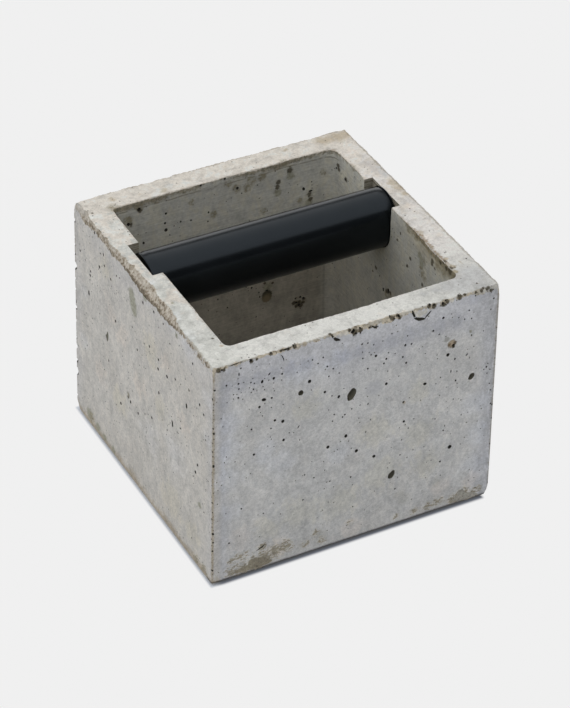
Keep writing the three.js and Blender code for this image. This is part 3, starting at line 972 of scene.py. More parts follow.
kind_of_face = np.zeros(len(mesh.polygons), np.int32)
mesh.polygons.foreach_get("material_index", kind_of_face)
slot_kinds = [m.name.replace("mark_", "") for m in mesh.materials]
for kind in KINDS[1:]:
    places = [i for i, name in enumerate(slot_kinds) if name == kind]
    values = np.isin(kind_of_face, places)
    store("is_" + kind, values, "FACE")
    print(kind, int(values.sum()), "faces")

# %% Store where each point is
SLOT_MARGIN, WALL_MARGIN, FLOOR_DEPTH, RIM_SKIN = 2 * MM, 1.6 * MM, 1.0 * MM, 0.25 * MM
centres = read_vectors(mesh.polygons, "center")
store("is_inside", (
    (np.abs(centres[:, 0]) < SLOT_REACH + SLOT_MARGIN)
    & (np.abs(centres[:, 1] - CAVITY_Y) < CAVITY_HALF_Y + WALL_MARGIN)
    & (centres[:, 2] > FLOOR_Z - FLOOR_DEPTH) & (centres[:, 2] < RIM_Z - RIM_SKIN)), "FACE")

points = read_vectors(mesh.vertices, "co")
gaps = [
    sign * points[:, axis] - edge + rim_wander(side, points[:, 1 - axis])
    for side, axis, sign, edge in CAVITY_SIDES
]
store("from_cavity", np.max(gaps, axis=0) / MM, "POINT")
for k, axis in enumerate("xyz"):
    store("along_" + axis, points[:, k] / MM, "POINT")
store("turned_right", read_vectors(mesh.polygons, "normal")[:, 0], "FACE")

# %% Where the washes lie
# A wash is a broad faint change of colour. Its places are listed by face, each in pixels and with a radius in
# millimetres. The mesh keeps how near each of its points is to the nearest one: 1 at the middle, 0 at the
# radius and less outside.
WASHES = {
    "blue": {
        "front": (
            (229, 425, 8), (229, 450, 8), (228, 480, 9), (232, 512, 8), (264, 452, 9), (284, 463, 10),
            (340, 452, 8), (476, 402, 8), (477, 432, 8), (474, 464, 8), (300, 372, 9), (336, 360, 8),
        ),
        "left": (
            (150, 438, 13), (176, 458, 13), (206, 398, 6), (207, 440, 6), (84, 290, 6), (84, 340, 6),
            (143, 292, 8), (168, 318, 8), (188, 346, 8),
        ),
    },
    "olive": {
        "front": (
            (300, 514, 13), (340, 500, 13), (382, 474, 13), (426, 462, 10), (268, 530, 9), (420, 432, 11),
            (374, 430, 10), (306, 408, 10), (420, 390, 8),
        ),
        "left": (
            (106, 266, 10), (150, 350, 10), (120, 402, 10), (172, 500, 13), (192, 532, 10), (160, 410, 8),
        ),
    },
    "pink": {
        "front": ((240, 540, 9), (276, 548, 7), (440, 490, 8), (470, 480, 6), (352, 528, 7)),
        "left": ((110, 312, 9), (122, 336, 9), (100, 370, 9), (140, 386, 9), (166, 362, 7), (184, 424, 7)),
        "rim": ((352, 152, 3.5), (410, 206, 4), (428, 237, 3.5), (404, 284, 3)),
    },
    "damp": {
        "front": (
            (226, 388, 5), (242, 384, 5), (258, 379, 5), (274, 374, 5), (290, 369, 5), (306, 364, 4.5),
            (344, 356, 5), (360, 352, 5), (376, 347, 5.5), (392, 342, 5.5), (408, 337, 6), (424, 332, 6),
            (440, 327, 6), (456, 322, 5), (374, 388, 5), (222, 404, 5),
        ),
        "rim": (
            (368, 163, 4.4), (376, 168, 4.6), (384, 173, 4), (474, 276, 11), (462, 282, 10), (482, 286, 9),
            (448, 286, 7), (436, 290, 4), (424, 294, 3.4), (260, 345, 1.6), (244, 348, 1.6),
            (230, 349, 1.6),
        ),
    },
    "brown": {
        "rim": (
            (335, 137, 6), (344, 134.5, 5), (322, 141, 5), (392, 182, 3.4), (399, 188, 4), (406, 193, 3.2),
            (285, 150, 2.4), (164, 190, 3), (112, 199, 2.4), (266, 154, 1.6), (225, 167, 1.4),
            (140, 194, 1.8), (420, 232, 2.6), (172.6, 303, 1.4), (478, 284, 1.6), (461, 262, 1.6),
        ),
    },
    "dull": {
        "front": (
            (402, 499, 5), (396, 496, 4), (319, 536, 5), (301, 545, 4), (222, 377, 4), (232, 376, 4),
            (269, 360.4, 1.6), (436, 482, 4),
        ),
        "left": ((92, 414, 5), (104, 436, 3)),
    },
    "flakes": {
        "front": (
            (256, 563, 7), (244, 569, 6), (266, 556, 6), (276, 551, 6), (286, 546, 5), (262, 547, 3.4),
            (232, 572, 5), (238, 558, 3.2), (230, 562, 2.4), (246, 554, 2.6), (316, 533, 3),
            (322, 540, 3.2), (306, 544, 3), (464, 494, 6), (472, 494, 5), (454, 499, 5), (438, 501, 3.6),
            (428, 506, 3.4), (414, 511, 3), (396, 516, 2.6), (478, 488, 3), (350, 522, 2.4),
        ),
        "left": ((196, 560, 5), (204, 570, 4), (176, 540, 3), (92, 418, 4)),
    },
}


def listed(by_face):
    """Every place of a table that lists its places by face, as (face, x, y, radius)."""
    return [(face, *place) for face, places in by_face.items() for place in places]


for name, by_face in WASHES.items():
    near = np.full(len(points), -1.0)
    for face, x, y, radius in listed(by_face):
        gap = np.linalg.norm(points - np.array(on_plane(x, y, *PLANES[face])), axis=1)
        near = np.maximum(near, 1 - gap / (radius * MM))
    store("near_" + name, near, "POINT")
    print(name, len(listed(by_face)), "places,", int((near > 0).sum()), "points")

# %% Clean the mesh
mesh.materials.clear()
mesh.polygons.foreach_set("material_index", np.zeros(len(mesh.polygons), np.int32))
for mark in marks.values():
    bpy.data.materials.remove(mark)

# Edges shorter than a sliver, in metres, are closed up, and so are holes of up to eight sides.
SLIVER = 1e-7
LARGEST_HOLE = 8
CONCRETE_SHARP = math.radians(38)
cleaned = bmesh.new()
cleaned.from_mesh(mesh)
print("open edges before:", sum(1 for e in cleaned.edges if not e.is_manifold))
bmesh.ops.dissolve_degenerate(cleaned, dist=SLIVER, edges=cleaned.edges)
bmesh.ops.delete(cleaned, geom=[e for e in cleaned.edges if e.is_wire], context="EDGES")
bmesh.ops.holes_fill(cleaned, edges=[e for e in cleaned.edges if e.is_boundary], sides=LARGEST_HOLE)
bmesh.ops.triangulate(cleaned, faces=[f for f in cleaned.faces if len(f.verts) > 4])
print("open edges:", sum(1 for e in cleaned.edges if not e.is_manifold))
cleaned.to_mesh(mesh)
cleaned.free()
mesh.shade_smooth()
mesh.set_sharp_from_angle(angle=CONCRETE_SHARP)
triangles = sum(len(p.vertices) - 2 for p in mesh.polygons)
print("concrete:", len(mesh.vertices), "points,", triangles, "triangles")
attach(body, "box")
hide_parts("concrete_body")

# %% [markdown]
# ## Writing a finish
#
# A finish is a graph of shader nodes. Written out node by node it is long and hard to read, so the graph is
# built from expressions instead. A Wire holds one output socket. Adding or multiplying wires adds the Math
# nodes that do it, and everything else goes through one method of the Finish that owns the graph.


# %% Wires and finishes
class Wire:
    """A socket that adds Math nodes when it is used in an expression."""

    def __init__(self, finish, socket):
        self.finish, self.socket = finish, socket

    def beside(self, output):
        """Another output of the same node."""
        return Wire(self.finish, self.socket.node.outputs[output])

    def __add__(self, other):
        return self.finish.reckon("ADD", self, other)

    def __radd__(self, other):
        return self.finish.reckon("ADD", other, self)

    def __sub__(self, other):
        return self.finish.reckon("SUBTRACT", self, other)

    def __rsub__(self, other):
        return self.finish.reckon("SUBTRACT", other, self)

    def __mul__(self, other):
        return self.finish.reckon("MULTIPLY", self, other)

    def __rmul__(self, other):
        return self.finish.reckon("MULTIPLY", other, self)

    def __truediv__(self, other):
        return self.finish.reckon("DIVIDE", self, other)

    def __pow__(self, other):
        return self.finish.reckon("POWER", self, other)


class Finish:
    """The nodes of a material or of the world, and the ways to add to them."""

    def __init__(self, owner):
        self.owner = owner
        owner.use_nodes = True
        self.tree = owner.node_tree
        self.tree.nodes.clear()

    def node(self, kind, settings=None, inputs=None, output=0):
        """Adds a shader node: its settings first, then the values or wires of its sockets."""
        made = self.tree.nodes.new("ShaderNode" + kind)
        for name, value in (settings or {}).items():
            if name == "stops":
                ramp = made.color_ramp
                while len(ramp.elements) < len(value):
                    ramp.elements.new(1.0)
                for element, (place, colour) in zip(ramp.elements, value):
                    element.position = place
                    element.color = (*colour, 1)
            else:
                setattr(made, name, value)
        for name, value in (inputs or {}).items():
            socket = made.inputs[name]
            if isinstance(value, Wire):
                self.tree.links.new(value.socket, socket)
            elif socket.type == "RGBA" and len(value) == 3:
                socket.default_value = (*value, 1)
            else:
                socket.default_value = value
        return Wire(self, made.outputs[output]) if made.outputs else None

    def place(self):
        """Where the surface is on the object, in millimetres."""
        return self.stretch(self.node("TexCoord", output="Object"), (1 / MM, 1 / MM, 1 / MM))

    def parts(self, place):
        """The x, y and z of a vector."""
        first = self.node("SeparateXYZ", {}, {0: place})
        return first, first.beside(1), first.beside(2)

    def reckon(self, operation, *values):
        """Works a value out with a Math node."""
        return self.node("Math", {"operation": operation}, dict(enumerate(values)))

    def smaller(self, first, second):
        return self.reckon("MINIMUM", first, second)

    def larger(self, first, second):
        return self.reckon("MAXIMUM", first, second)

    def size(self, value):
        return self.reckon("ABSOLUTE", value)

    def stretch(self, place, amounts):
        return self.node("Mapping", {}, {"Vector": place, "Scale": amounts})

    def shift(self, place, amounts):
        return self.node("Mapping", {}, {"Vector": place, "Location": amounts})

    def cloud(self, place, size, detail=2.0, roughness=0.5, distortion=0.0):
        """Soft noise, about 0 to 1, that changes over the given size in millimetres."""
        return self.node("TexNoise", {}, {
            "Vector": place, "Scale": 1.0 / size, "Detail": detail, "Roughness": roughness,
            "Distortion": distortion})

    def fade(self, value, low, high):
        """0 below low and 1 above high, with a soft step between them; low may be the larger. The soft step
        stays within 0 and 1 by itself, so nothing is clamped, which spares the renderer a node each time."""
        return self.node("MapRange", {"interpolation_type": "SMOOTHSTEP", "clamp": False}, {
            "Value": value, "From Min": low, "From Max": high})

    def paint(self, under, over, amount):
        """Mixes a colour over another by an amount from 0 to 1."""
        return self.node("Mix", {"data_type": "RGBA"}, {0: amount, 6: under, 7: over}, output=2)

    def shade(self, colour, amount):
        """A colour times a number, which may be above 1."""
        return self.node("Mix", {"data_type": "RGBA", "clamp_factor": False}, {
            0: amount, 6: (0.0, 0.0, 0.0), 7: colour}, output=2)

    def tint(self, colour, by):
        """Multiplies two colours."""
        return self.node("Mix", {"data_type": "RGBA", "blend_type": "MULTIPLY"}, {
            0: 1.0, 6: colour, 7: by}, output=2)

    def mark(self, name):
        """A number stored on the mesh."""
        return self.node("Attribute", {"attribute_name": name}, output="Fac")

    def bump(self, height, strength, distance, normal=None):
        """A normal bent by a height. The distance is in millimetres."""
        inputs = {"Height": height, "Strength": strength, "Distance": distance * MM}
        if normal is not None:
            inputs["Normal"] = normal
        return self.node("Bump", {}, inputs)

    def close(self, **sockets):
        """Adds the Principled shader with these sockets and the output, and gives back the material."""
        names = {name.replace("_", " "): value for name, value in sockets.items()}
        shader = self.node("BsdfPrincipled", {}, names)
        self.node("OutputMaterial", {}, {"Surface": shader})
        return self.owner


def new_finish(name):
    return Finish(bpy.data.materials.new(name))


# %% [markdown]
# ## Concrete
#
# Cast concrete is a grey cement skin with faint clouds where water and cement parted in the mould. Some
# clouds lean to blue and some to warm brown. It is full of pin holes too small to cut, which are painted
# dark as painted shade. The rim was trowelled smooth and is paler, the inside is darker and stained and
# is painted darker still further down as painted shade, and broken places show sandy mortar with pale and
# dark grains.

# %% Where on the box
finish = new_finish("cast_concrete")
place = finish.place()
place_x, place_y, place_z = (finish.mark("along_" + axis) for axis in "xyz")
below_rim = RIM_Z / MM - place_z
lean = below_rim * (OUTSIDE_DRAFT / (RIM_Z - BASE_Z))
to_side = HALF_X / MM - finish.size(place_x) + lean
to_front = HALF_Y / MM - finish.size(place_y) + lean
from_corner = finish.larger(to_side, to_front)
outer_arris = finish.larger(finish.smaller(to_side, to_front), finish.smaller(from_corner, below_rim))
from_cavity = finish.mark("from_cavity")
inside = finish.mark("is_inside")
broken = finish.mark("is_broken")
on_rim = finish.fade(below_rim, 1.0, 0.35) * (1 - inside)

# %% Clouds, smears and grain
broad = finish.cloud(place, 40, 2.0, 0.5)
clouds = finish.cloud(finish.shift(place, (31, 7, 90)), 13, 3.0, 0.6, 0.4)
smears = finish.cloud(finish.stretch(place, (1, 1, 0.6)), 4.2, 3.0, 0.55, 0.5)
fine = finish.cloud(place, 1.5, 2.0, 0.6)
grain = finish.cloud(finish.shift(place, (5, 17, 2)), 0.62, 2.0, 0.6)
crumbs = finish.cloud(finish.shift(place, (3, 60, 8)), 1.9, 3.0, 0.65)
mottle = -0.10 + 0.50 * clouds + 0.50 * smears + 0.62 * fine + 0.58 * grain

# %% Skin
WARM_GREY, BLUE_GREY, BROWN_GREY = (0.602, 0.591, 0.577), (0.584, 0.578, 0.592), (0.608, 0.587, 0.560)
LEFT_TINT = (0.992, 0.962, 0.912)
on_left = finish.fade(place_x, -70, -74)
blue_place = (finish.smaller(2.4 * from_corner, below_rim) + 34 * (clouds - 0.5) + 24 * (broad - 0.5)
              + 8 * on_left)
brown_patch = finish.fade(smears + 0.6 * (broad - 0.5), 0.42, 0.68) * finish.fade(blue_place, 10, 30)
colour = finish.paint(WARM_GREY, BROWN_GREY, brown_patch * 0.6)
colour = finish.paint(colour, BLUE_GREY, finish.fade(blue_place, 34, 6) * (1 - 0.3 * on_left))
colour = finish.paint(colour, finish.tint(colour, LEFT_TINT), on_left)
drips = finish.cloud(finish.stretch(place, (1, 1, 0.16)), 1.6, 3.0, 0.6)
corner_shade = 1 - 0.22 * finish.fade(from_corner, 9, 0) * finish.fade(drips, 0.35, 0.6) * (1 - on_left)
colour = finish.shade(colour, mottle * corner_shade)

# %% Rim
WHITE_RIM, BEIGE_RIM, GREY_RIM = (0.652, 0.648, 0.612), (0.640, 0.595, 0.530), (0.560, 0.560, 0.530)
PINK_RIM, GREEN_RIM = (0.648, 0.622, 0.590), (0.568, 0.570, 0.534)
wash = finish.cloud(finish.shift(place, (80, 14, 0)), 7.0, 3.0, 0.6, 0.8)
rim_colour = finish.paint(WHITE_RIM, PINK_RIM, finish.fade(place_x + 40 * (wash - 0.5), 35, 70))
rim_colour = finish.paint(rim_colour, GREEN_RIM, finish.fade(place_x + 24 * (wash - 0.5), -50, -70))
rim_colour = finish.paint(rim_colour, BEIGE_RIM, finish.fade(wash + 0.0024 * place_y, 0.46, 0.64) * 0.9)
rim_colour = finish.paint(rim_colour, GREY_RIM, finish.fade(smears + 0.5 * (clouds - 0.5), 0.54, 0.70))
worn_corner = finish.fade(place_y, -30, -58) * finish.fade(place_x, 15, 50) * 0.75
rim_colour = finish.paint(rim_colour, GREY_RIM, worn_corner)
rim_grain = -0.23 + 0.46 * fine + 0.50 * grain + 0.90 * smears + 0.60 * clouds
colour = finish.paint(colour, finish.shade(rim_colour, rim_grain), on_rim)

# %% Darker lines and dirt along the arrises, and a painted shadow at the foot
ARRIS_LINE_COLOUR, LIP_DIRT, MORTAR_LINE = (0.27, 0.23, 0.165), (0.27, 0.20, 0.13), (0.47, 0.40, 0.30)
BASE_TINT = (0.72, 0.64, 0.52)
# A thin darker brown line along the outer arrises.
arris_line = finish.fade(outer_arris + 3.4 * (crumbs - 0.5), 1.2, 0.1) * (1 - inside)
colour = finish.paint(colour, ARRIS_LINE_COLOUR, arris_line * 0.6)
front_right = finish.fade(place_x, 50, 58) * finish.fade(place_y, 0, -30)
front_left = finish.larger(to_side, to_front) + 1.6 * (fine - 0.5) + finish.fade(place_x, -70, -60) * 9
front_left = finish.fade(front_left + finish.fade(place_y, -70, -60) * 9, 1.5, 0.5) * (1 - on_rim)
front_left = front_left * (0.35 + 0.65 * finish.fade(finish.size(place_z - 50), 60, 30))
colour = finish.paint(colour, finish.shade(MORTAR_LINE, 0.1 + 1.7 * grain), front_left * 0.75)
# Painted shadow: the front is darker in its lowest few millimetres, where the box meets the floor.
painted_contact_shadow = finish.fade(place_z + 0.6 * (crumbs - 0.5), 3.0, 1.8) * finish.fade(place_y, -70, -74)
colour = finish.shade(colour, 1 - 0.82 * painted_contact_shadow)
base_dirt = finish.fade(place_z + 8 * (crumbs - 0.5) + 9 * (clouds - 0.5), 7.0, 2.0) * on_left
colour = finish.paint(colour, finish.tint(colour, BASE_TINT), base_dirt * 0.9)
lip_reach = from_cavity + 5.0 * (crumbs - 0.5) - 3.0 * (clouds - 0.45) - 0.9 * front_right
lip_dirt = finish.fade(lip_reach, 0.9, -0.5)
lip_dirt = lip_dirt * (1 - 0.8 * finish.fade(place_y, -48, -54))
colour = finish.paint(colour, LIP_DIRT, lip_dirt * on_rim * (0.55 + 0.3 * front_right))

# %% Inside
streaks = finish.cloud(finish.stretch(place, (0.10, 0.10, 1.5)), 1.2, 3.0, 0.6)
depth_shade = (0.80 + 0.24 * finish.fade(below_rim, 62, 4)) * (1 - 0.3 * finish.fade(below_rim, 92, 110))
back_wall, right_wall = finish.fade(place_y, 50, 60), finish.fade(place_x, 52, 60)
inside_mottle = -0.20 + 0.60 * streaks + 0.62 * clouds + 0.62 * smears + 0.56 * fine
inside_shade = depth_shade * inside_mottle * (1 + 0.16 * right_wall * finish.fade(place_y, 0, 24))
GREY_WALL, OLIVE_WALL, BROWN_WALL = (0.555, 0.552, 0.508), (0.515, 0.50, 0.43), (0.53, 0.495, 0.43)
LEDGE_SHADE, DARK_GRIME, PALE_GRIME = (0.19, 0.17, 0.12), (0.13, 0.115, 0.07), (0.30, 0.25, 0.165)
HAZE_TINT = (0.86, 0.80, 0.68)
CORNER_SHADE_X = 57.2
inside_colour = finish.paint(GREY_WALL, OLIVE_WALL, finish.fade(smears + 0.5 * (clouds - 0.5), 0.42, 0.66))
brown_wall = finish.fade(below_rim + 20 * (clouds - 0.5), 30, 66) * (1 - 0.6 * right_wall)
inside_colour = finish.paint(inside_colour, BROWN_WALL, brown_wall)
inside_colour = finish.shade(inside_colour, inside_shade)
# Painted shade: a thin dark line along a faint ledge about 4 mm below the rim of the back wall.
ledge = finish.size(below_rim - 4.0 + 2.0 * (clouds - 0.5) + 0.8 * (crumbs - 0.5))
ledge_shade = finish.fade(ledge, 0.6, 0.15) * back_wall * finish.fade(smears, 0.36, 0.5)
inside_colour = finish.paint(inside_colour, LEDGE_SHADE, ledge_shade * 0.6)
right_front = right_wall * finish.fade(place_y, 0, -30)
grime_reach = (0.3 + 0.5 * back_wall + 2.4 * right_front + 1.8 * back_wall * finish.fade(place_x, -12, -34)
               + 1.2 * back_wall * finish.fade(place_x, 0, 12))
grime = finish.fade(below_rim - grime_reach + 6.0 * (crumbs - 0.5) - 5.0 * (clouds - 0.5), 1.6, -0.8)
grime_colour = finish.paint(DARK_GRIME, PALE_GRIME, finish.fade(fine, 0.35, 0.62))
inside_colour = finish.paint(inside_colour, grime_colour, grime * 0.8)
# Painted shade: a thin darker upright line deep on the back wall, where it turns into the rounded back right
# corner.
corner_shade_line = (finish.size(place_x - CORNER_SHADE_X) + 3 * finish.fade(place_y, 56, 55)
                + 3 * finish.fade(below_rim, 40, 30))
inside_colour = finish.shade(inside_colour, 1 - 0.16 * finish.fade(corner_shade_line, 0.8, 0.2))
haze_reach = finish.fade(below_rim + 16 * (clouds - 0.5) + 10 * (crumbs - 0.5), 13, 2) * right_front
inside_colour = finish.paint(inside_colour, finish.tint(inside_colour, HAZE_TINT), haze_reach)
colour = finish.paint(colour, inside_colour, inside)

# %% Broad washes
# The near_ numbers on the mesh say how near the middle of a wash is. Noise makes the edge of the wash wander.
TINTS = {
    "blue": (1.0, 1.015, 1.05), "olive": (0.975, 0.965, 0.915), "pink": (1.03, 1.0, 0.98),
    "damp": (0.82, 0.828, 0.86), "brown": (0.74, 0.68, 0.58), "dull": (0.88, 0.875, 0.855),
}
drift = 1.5 * (clouds - 0.5) + 1.5 * (smears - 0.5) + 0.5 * (crumbs - 0.5)
for name, wash_tint in TINTS.items():
    amount = finish.fade(finish.mark("near_" + name) + drift, -0.1, 0.7)
    colour = finish.paint(colour, finish.tint(colour, wash_tint), amount)

# %% Stains and painted shade in holes
DARK_STAIN_AND_SHADE, TAN, OLIVE = (0.065, 0.052, 0.028), (0.44, 0.37, 0.27), (0.31, 0.30, 0.22)
PALE, SMUDGE = (0.66, 0.62, 0.54), (0.26, 0.23, 0.155)
# The places of each colour of stain are listed by face, in pixels and with a radius in millimetres.
STAINS = {
    PALE: {
        "front": (
            (415.6, 313.4, 1.4), (420.4, 313.6, 1.9), (425, 311.6, 1.5), (335.6, 335.4, 1.2),
            (340.6, 334.6, 1.5), (346, 333, 1.4), (372, 322.6, 1.5), (379, 320.4, 1.6), (404.6, 312.6, 1.5),
            (452, 300.6, 1.2),
        ),
    },
    TAN: {
        "rim": ((451.6, 266.4, 1.6), (455, 271.6, 1.4), (446, 258.6, 1.2), (221.6, 345.8, 0.9)),
        "front": ((403.6, 402, 1.0), (236, 364, 1.2), (298, 346.6, 1.6), (305, 344.4, 1.2)),
    },
    OLIVE: {
        "inner back": ((277.6, 192.4, 2.2), (308.6, 203, 2.2), (268, 286.6, 2.4), (290.6, 175.6, 2.2)),
        "inner right": ((420, 256, 2.2), (421.4, 264.6, 2.2)),
        "left": (
            (131.4, 293.4, 3.2), (132.4, 299, 3.6), (133.2, 304.6, 3.6), (134, 310.4, 3.0),
            (144.6, 297.6, 1.8), (176.2, 335.6, 1.5), (199.4, 504.7, 1.6), (90, 414, 3.2), (98, 427, 2.4),
            (104.6, 437, 2.0), (113.4, 449.4, 2.2),
        ),
        "front": ((470.8, 331.2, 0.9),),
        "rim": ((172.6, 303, 0.8),),
    },
    SMUDGE: {
        "inner back": (
            (251.6, 181, 2.8), (247, 188, 2.2), (262, 177.4, 2.4), (284, 163.6, 2.2), (228, 184, 2.2),
            (236, 188, 2.6), (191.2, 202.6, 1.8), (264.2, 210.6, 1.8), (128, 221, 2.8), (139.6, 207.6, 2.4),
            (114, 208, 3.2), (323.2, 172.3, 1.8), (214, 214, 2.2), (300, 200, 2.0), (299, 302.6, 3.4),
        ),
        "inner right": (
            (353, 168.6, 1.8), (423.8, 273, 1.6), (425.4, 279, 1.4), (409, 230, 2.0), (416, 238, 1.8),
            (429.4, 249.8, 2.2), (387.4, 295, 2.8), (389.4, 296.4, 2.6), (449, 271, 3.2),
            (353.2, 168.4, 1.8), (424, 262, 2.2), (421, 270, 2.0), (444, 272, 3.0), (438, 266, 2.6),
            (452, 277, 2.2), (453.6, 275, 2.6), (443.6, 266.6, 2.4), (422, 273, 2.2), (424, 279, 1.8),
            (437, 258, 2.0),
        ),
        "left": ((128.4, 394.6, 1.6),),
    },
    # The dark marks are mostly painted shade in the pores and crumb holes whose places they share, and partly
    # dark stains.
    DARK_STAIN_AND_SHADE: {
        "inner back": (
            (289.6, 170, 1.9), (278.4, 182, 1.5), (277.4, 187, 1.6), (309.4, 194.6, 1.9), (310.4, 199, 1.5),
            (264.8, 283.2, 0.9), (272.6, 282.8, 0.9), (303.8, 297.9, 1.1), (295.2, 297.9, 0.9),
            (293.6, 303.2, 1.3), (299, 302.2, 1.4), (302.6, 302.2, 1.2), (296.3, 305.9, 1.3),
            (300.6, 305.4, 1.4), (129, 224, 1.6), (139.4, 209.8, 1.7),
        ),
        "inner right": (
            (346, 179.6, 1.5), (386.6, 291.2, 1.4), (388.6, 290.8, 1.5), (390.4, 293.0, 1.2),
            (432.4, 261.2, 1.5), (432.0, 264.0, 1.3), (410.4, 258.7, 1.2), (407.3, 265.9, 1.1),
            (375.9, 267.6, 1.3), (372.8, 271.0, 0.8), (397.3, 239.9, 1.0), (400.4, 233.5, 0.8),
            (422.3, 284.8, 1.2), (338.2, 165.6, 1.5), (338.8, 169.2, 1.5), (434.6, 268.6, 0.9),
            (446.4, 268.4, 1.4), (440.4, 262.4, 1.2), (443.6, 261.4, 1.8), (449.6, 270.4, 2.0),
        ),
        "rim": ((212.8, 338.6, 0.8), (92.4, 213, 0.7)),
        "left": ((189, 390.3, 0.9), (128.2, 397, 1.0), (107.2, 336.4, 1.2)),
        "front": (
            (218.6, 370.6, 1.3), (224, 369.8, 1.0), (251, 360.8, 1.3), (257, 359.2, 0.8), (271, 353.6, 1.0),
            (281, 351, 0.7), (288, 349, 0.8), (294.4, 346.4, 1.2), (330, 334, 0.9), (353.8, 331.6, 2.1),
            (349.6, 330.4, 1.0), (360.6, 330, 1.3), (369.6, 327, 0.9), (375.6, 326.6, 1.1), (392, 318, 1.6),
            (397, 315.4, 1.0), (399.6, 317.4, 1.1), (429, 306.4, 1.2), (433.6, 306.2, 1.4),
            (443, 303.6, 1.7), (447.4, 301.6, 1.2), (459.6, 297, 1.5), (464.6, 294.6, 0.9),
            (476, 292.4, 0.9), (481.4, 290.6, 1.1), (487, 289, 1.0), (491, 290.6, 0.9), (483.4, 288.2, 0.7),
            (488.4, 287.8, 0.9), (491.8, 289.8, 0.8), (471.3, 335.0, 0.6),
        ),
    },
}
STRENGTH = {PALE: 0.8, TAN: 0.8, OLIVE: 0.8, SMUDGE: 0.66, DARK_STAIN_AND_SHADE: 0.88}

# %% Ragged edges for the stains
# Noise moves each place by up to half a swing, in millimetres, so that a stain's edge wanders. The noise of
# the wide swing is broader too.
WIDE_SWING, SMALL_SWING = 4.4, 1.8
NOISE_SIZES = {WIDE_SWING: 2.4, SMALL_SWING: 0.9}
SKIN_WITHIN = 3.5 * MM
bpy.context.view_layer.update()
bent_place = {}
for swing, size in NOISE_SIZES.items():
    wander = finish.node("TexNoise", {}, {
        "Vector": place, "Scale": 1 / size, "Detail": 3.0, "Roughness": 0.7}, output="Color")
    red = finish.node("SeparateColor", {}, {0: wander})
    moves = (red, red.beside(1), red.beside(2))
    bent = [along + swing * move for along, move in zip((place_x, place_y, place_z), moves)]
    bent_place[swing] = finish.node("CombineXYZ", {}, dict(enumerate(bent)))


def on_skin(face, x, y):
    """The point of the uneven concrete behind a pixel, or of the flat face if the skin is far from it."""
    flat = on_plane(x, y, *PLANES[face])
    found, skin, _, _ = body.ray_cast(camera_place, (flat - camera_place).normalized())
    return skin if found and (skin - flat).length < SKIN_WITHIN else flat


def spot_mask(face, x, y, radius, soft=0.35, swing=SMALL_SWING):
    """1 near a place, given in pixels on a face, and 0 beyond a radius in millimetres, with a ragged edge."""
    spot = on_skin(face, x, y) / MM + Vector((swing, swing, swing)) / 2
    gap = finish.node("VectorMath", {"operation": "DISTANCE"}, {
        0: bent_place[swing], 1: spot}, output="Value")
    return finish.fade(gap, radius * (1 + soft), radius * (1 - soft))


def speckled(paint_colour):
    """A colour that the fine grain makes darker and lighter."""
    return finish.shade(paint_colour, 0.3 + 1.4 * fine)


# %% Paint the stains
DARK_SHRINK, WIDE_FROM_RADIUS = 0.9, 1.4
stain_masks = {}
for stain_colour, by_face in STAINS.items():
    mask = 0.0
    for face, x, y, radius in listed(by_face):
        if stain_colour == DARK_STAIN_AND_SHADE:
            radius = DARK_SHRINK * radius
        swing = WIDE_SWING if radius > WIDE_FROM_RADIUS else SMALL_SWING
        mask = finish.larger(spot_mask(face, x, y, radius, swing=swing), mask)
    stain_masks[stain_colour] = mask * STRENGTH[stain_colour]
stain_masks[SMUDGE] = stain_masks[SMUDGE] * (0.3 + finish.fade(crumbs + 0.4 * (fine - 0.5), 0.36, 0.60))
for stain_colour in (OLIVE, TAN, SMUDGE, DARK_STAIN_AND_SHADE):
    colour = finish.paint(colour, speckled(stain_colour), stain_masks[stain_colour])
print(sum(len(listed(by_face)) for by_face in STAINS.values()), "stains")

# %% Two round spots
# Two round brown spots each get a dark crescent at one side: painted shade, as in a shallow hollow. Each
# layer of paint is its face, its place in pixels, its radius in millimetres, how soft its edge is, its colour
# and how much of it there is.
SPOTS = (
    ("front", 446.9, 339.6, 1.5, 0.35, (0.22, 0.215, 0.18), 0.6),
    ("front", 452.0, 343.8, 2.3, 0.3, (0.21, 0.150, 0.085), 0.9),
    ("front", 451.8, 342.8, 1.3, 0.5, (0.44, 0.350, 0.245), 0.95),
    ("front", 449.2, 344.8, 0.8, 0.5, (0.14, 0.090, 0.04), 0.8),
    ("front", 455.0, 342.6, 0.9, 0.5, (0.10, 0.075, 0.045), 0.8),
    ("front", 453.4, 346.6, 0.9, 0.3, (0.030, 0.022, 0.008), 1.0),
    ("inner back", 267.0, 294.8, 2.9, 0.2, (0.045, 0.040, 0.018), 0.95),
    ("inner back", 266.6, 297.6, 2.8, 0.2, (0.150, 0.125, 0.070), 0.9),
    ("inner back", 266.4, 298.4, 2.0, 0.45, (0.250, 0.200, 0.125), 0.9),
)
for face, x, y, radius, soft, spot_colour, amount in SPOTS:
    colour = finish.paint(colour, spot_colour, spot_mask(face, x, y, radius, soft) * amount)

# %% Flaked skin at the base
# The skin has flaked off in small scales near the foot of the front. A scale is missing where rough noise and
# the nearness stored on the mesh add up to enough.
near = finish.mark("near_flakes")
SCALE_RIM_TINT, UNDER_SCALE = (1.06, 1.03, 0.97), (0.34, 0.30, 0.225)
scales = finish.cloud(finish.stretch(place, (0.7, 0.7, 1.3)), 1.5, 4.0, 0.7)
loose = near + 3.4 * (scales - 0.5)
flaked = finish.fade(loose, 0.42, 0.56) * (1 - inside)
rimmed = finish.fade(loose, 0.0, 0.4) * finish.fade(near, -0.3, 0.2)
colour = finish.paint(colour, finish.tint(colour, SCALE_RIM_TINT), rimmed)
colour = finish.paint(colour, speckled(UNDER_SCALE), flaked * 0.9)
print("concrete nodes so far:", len(finish.tree.nodes))

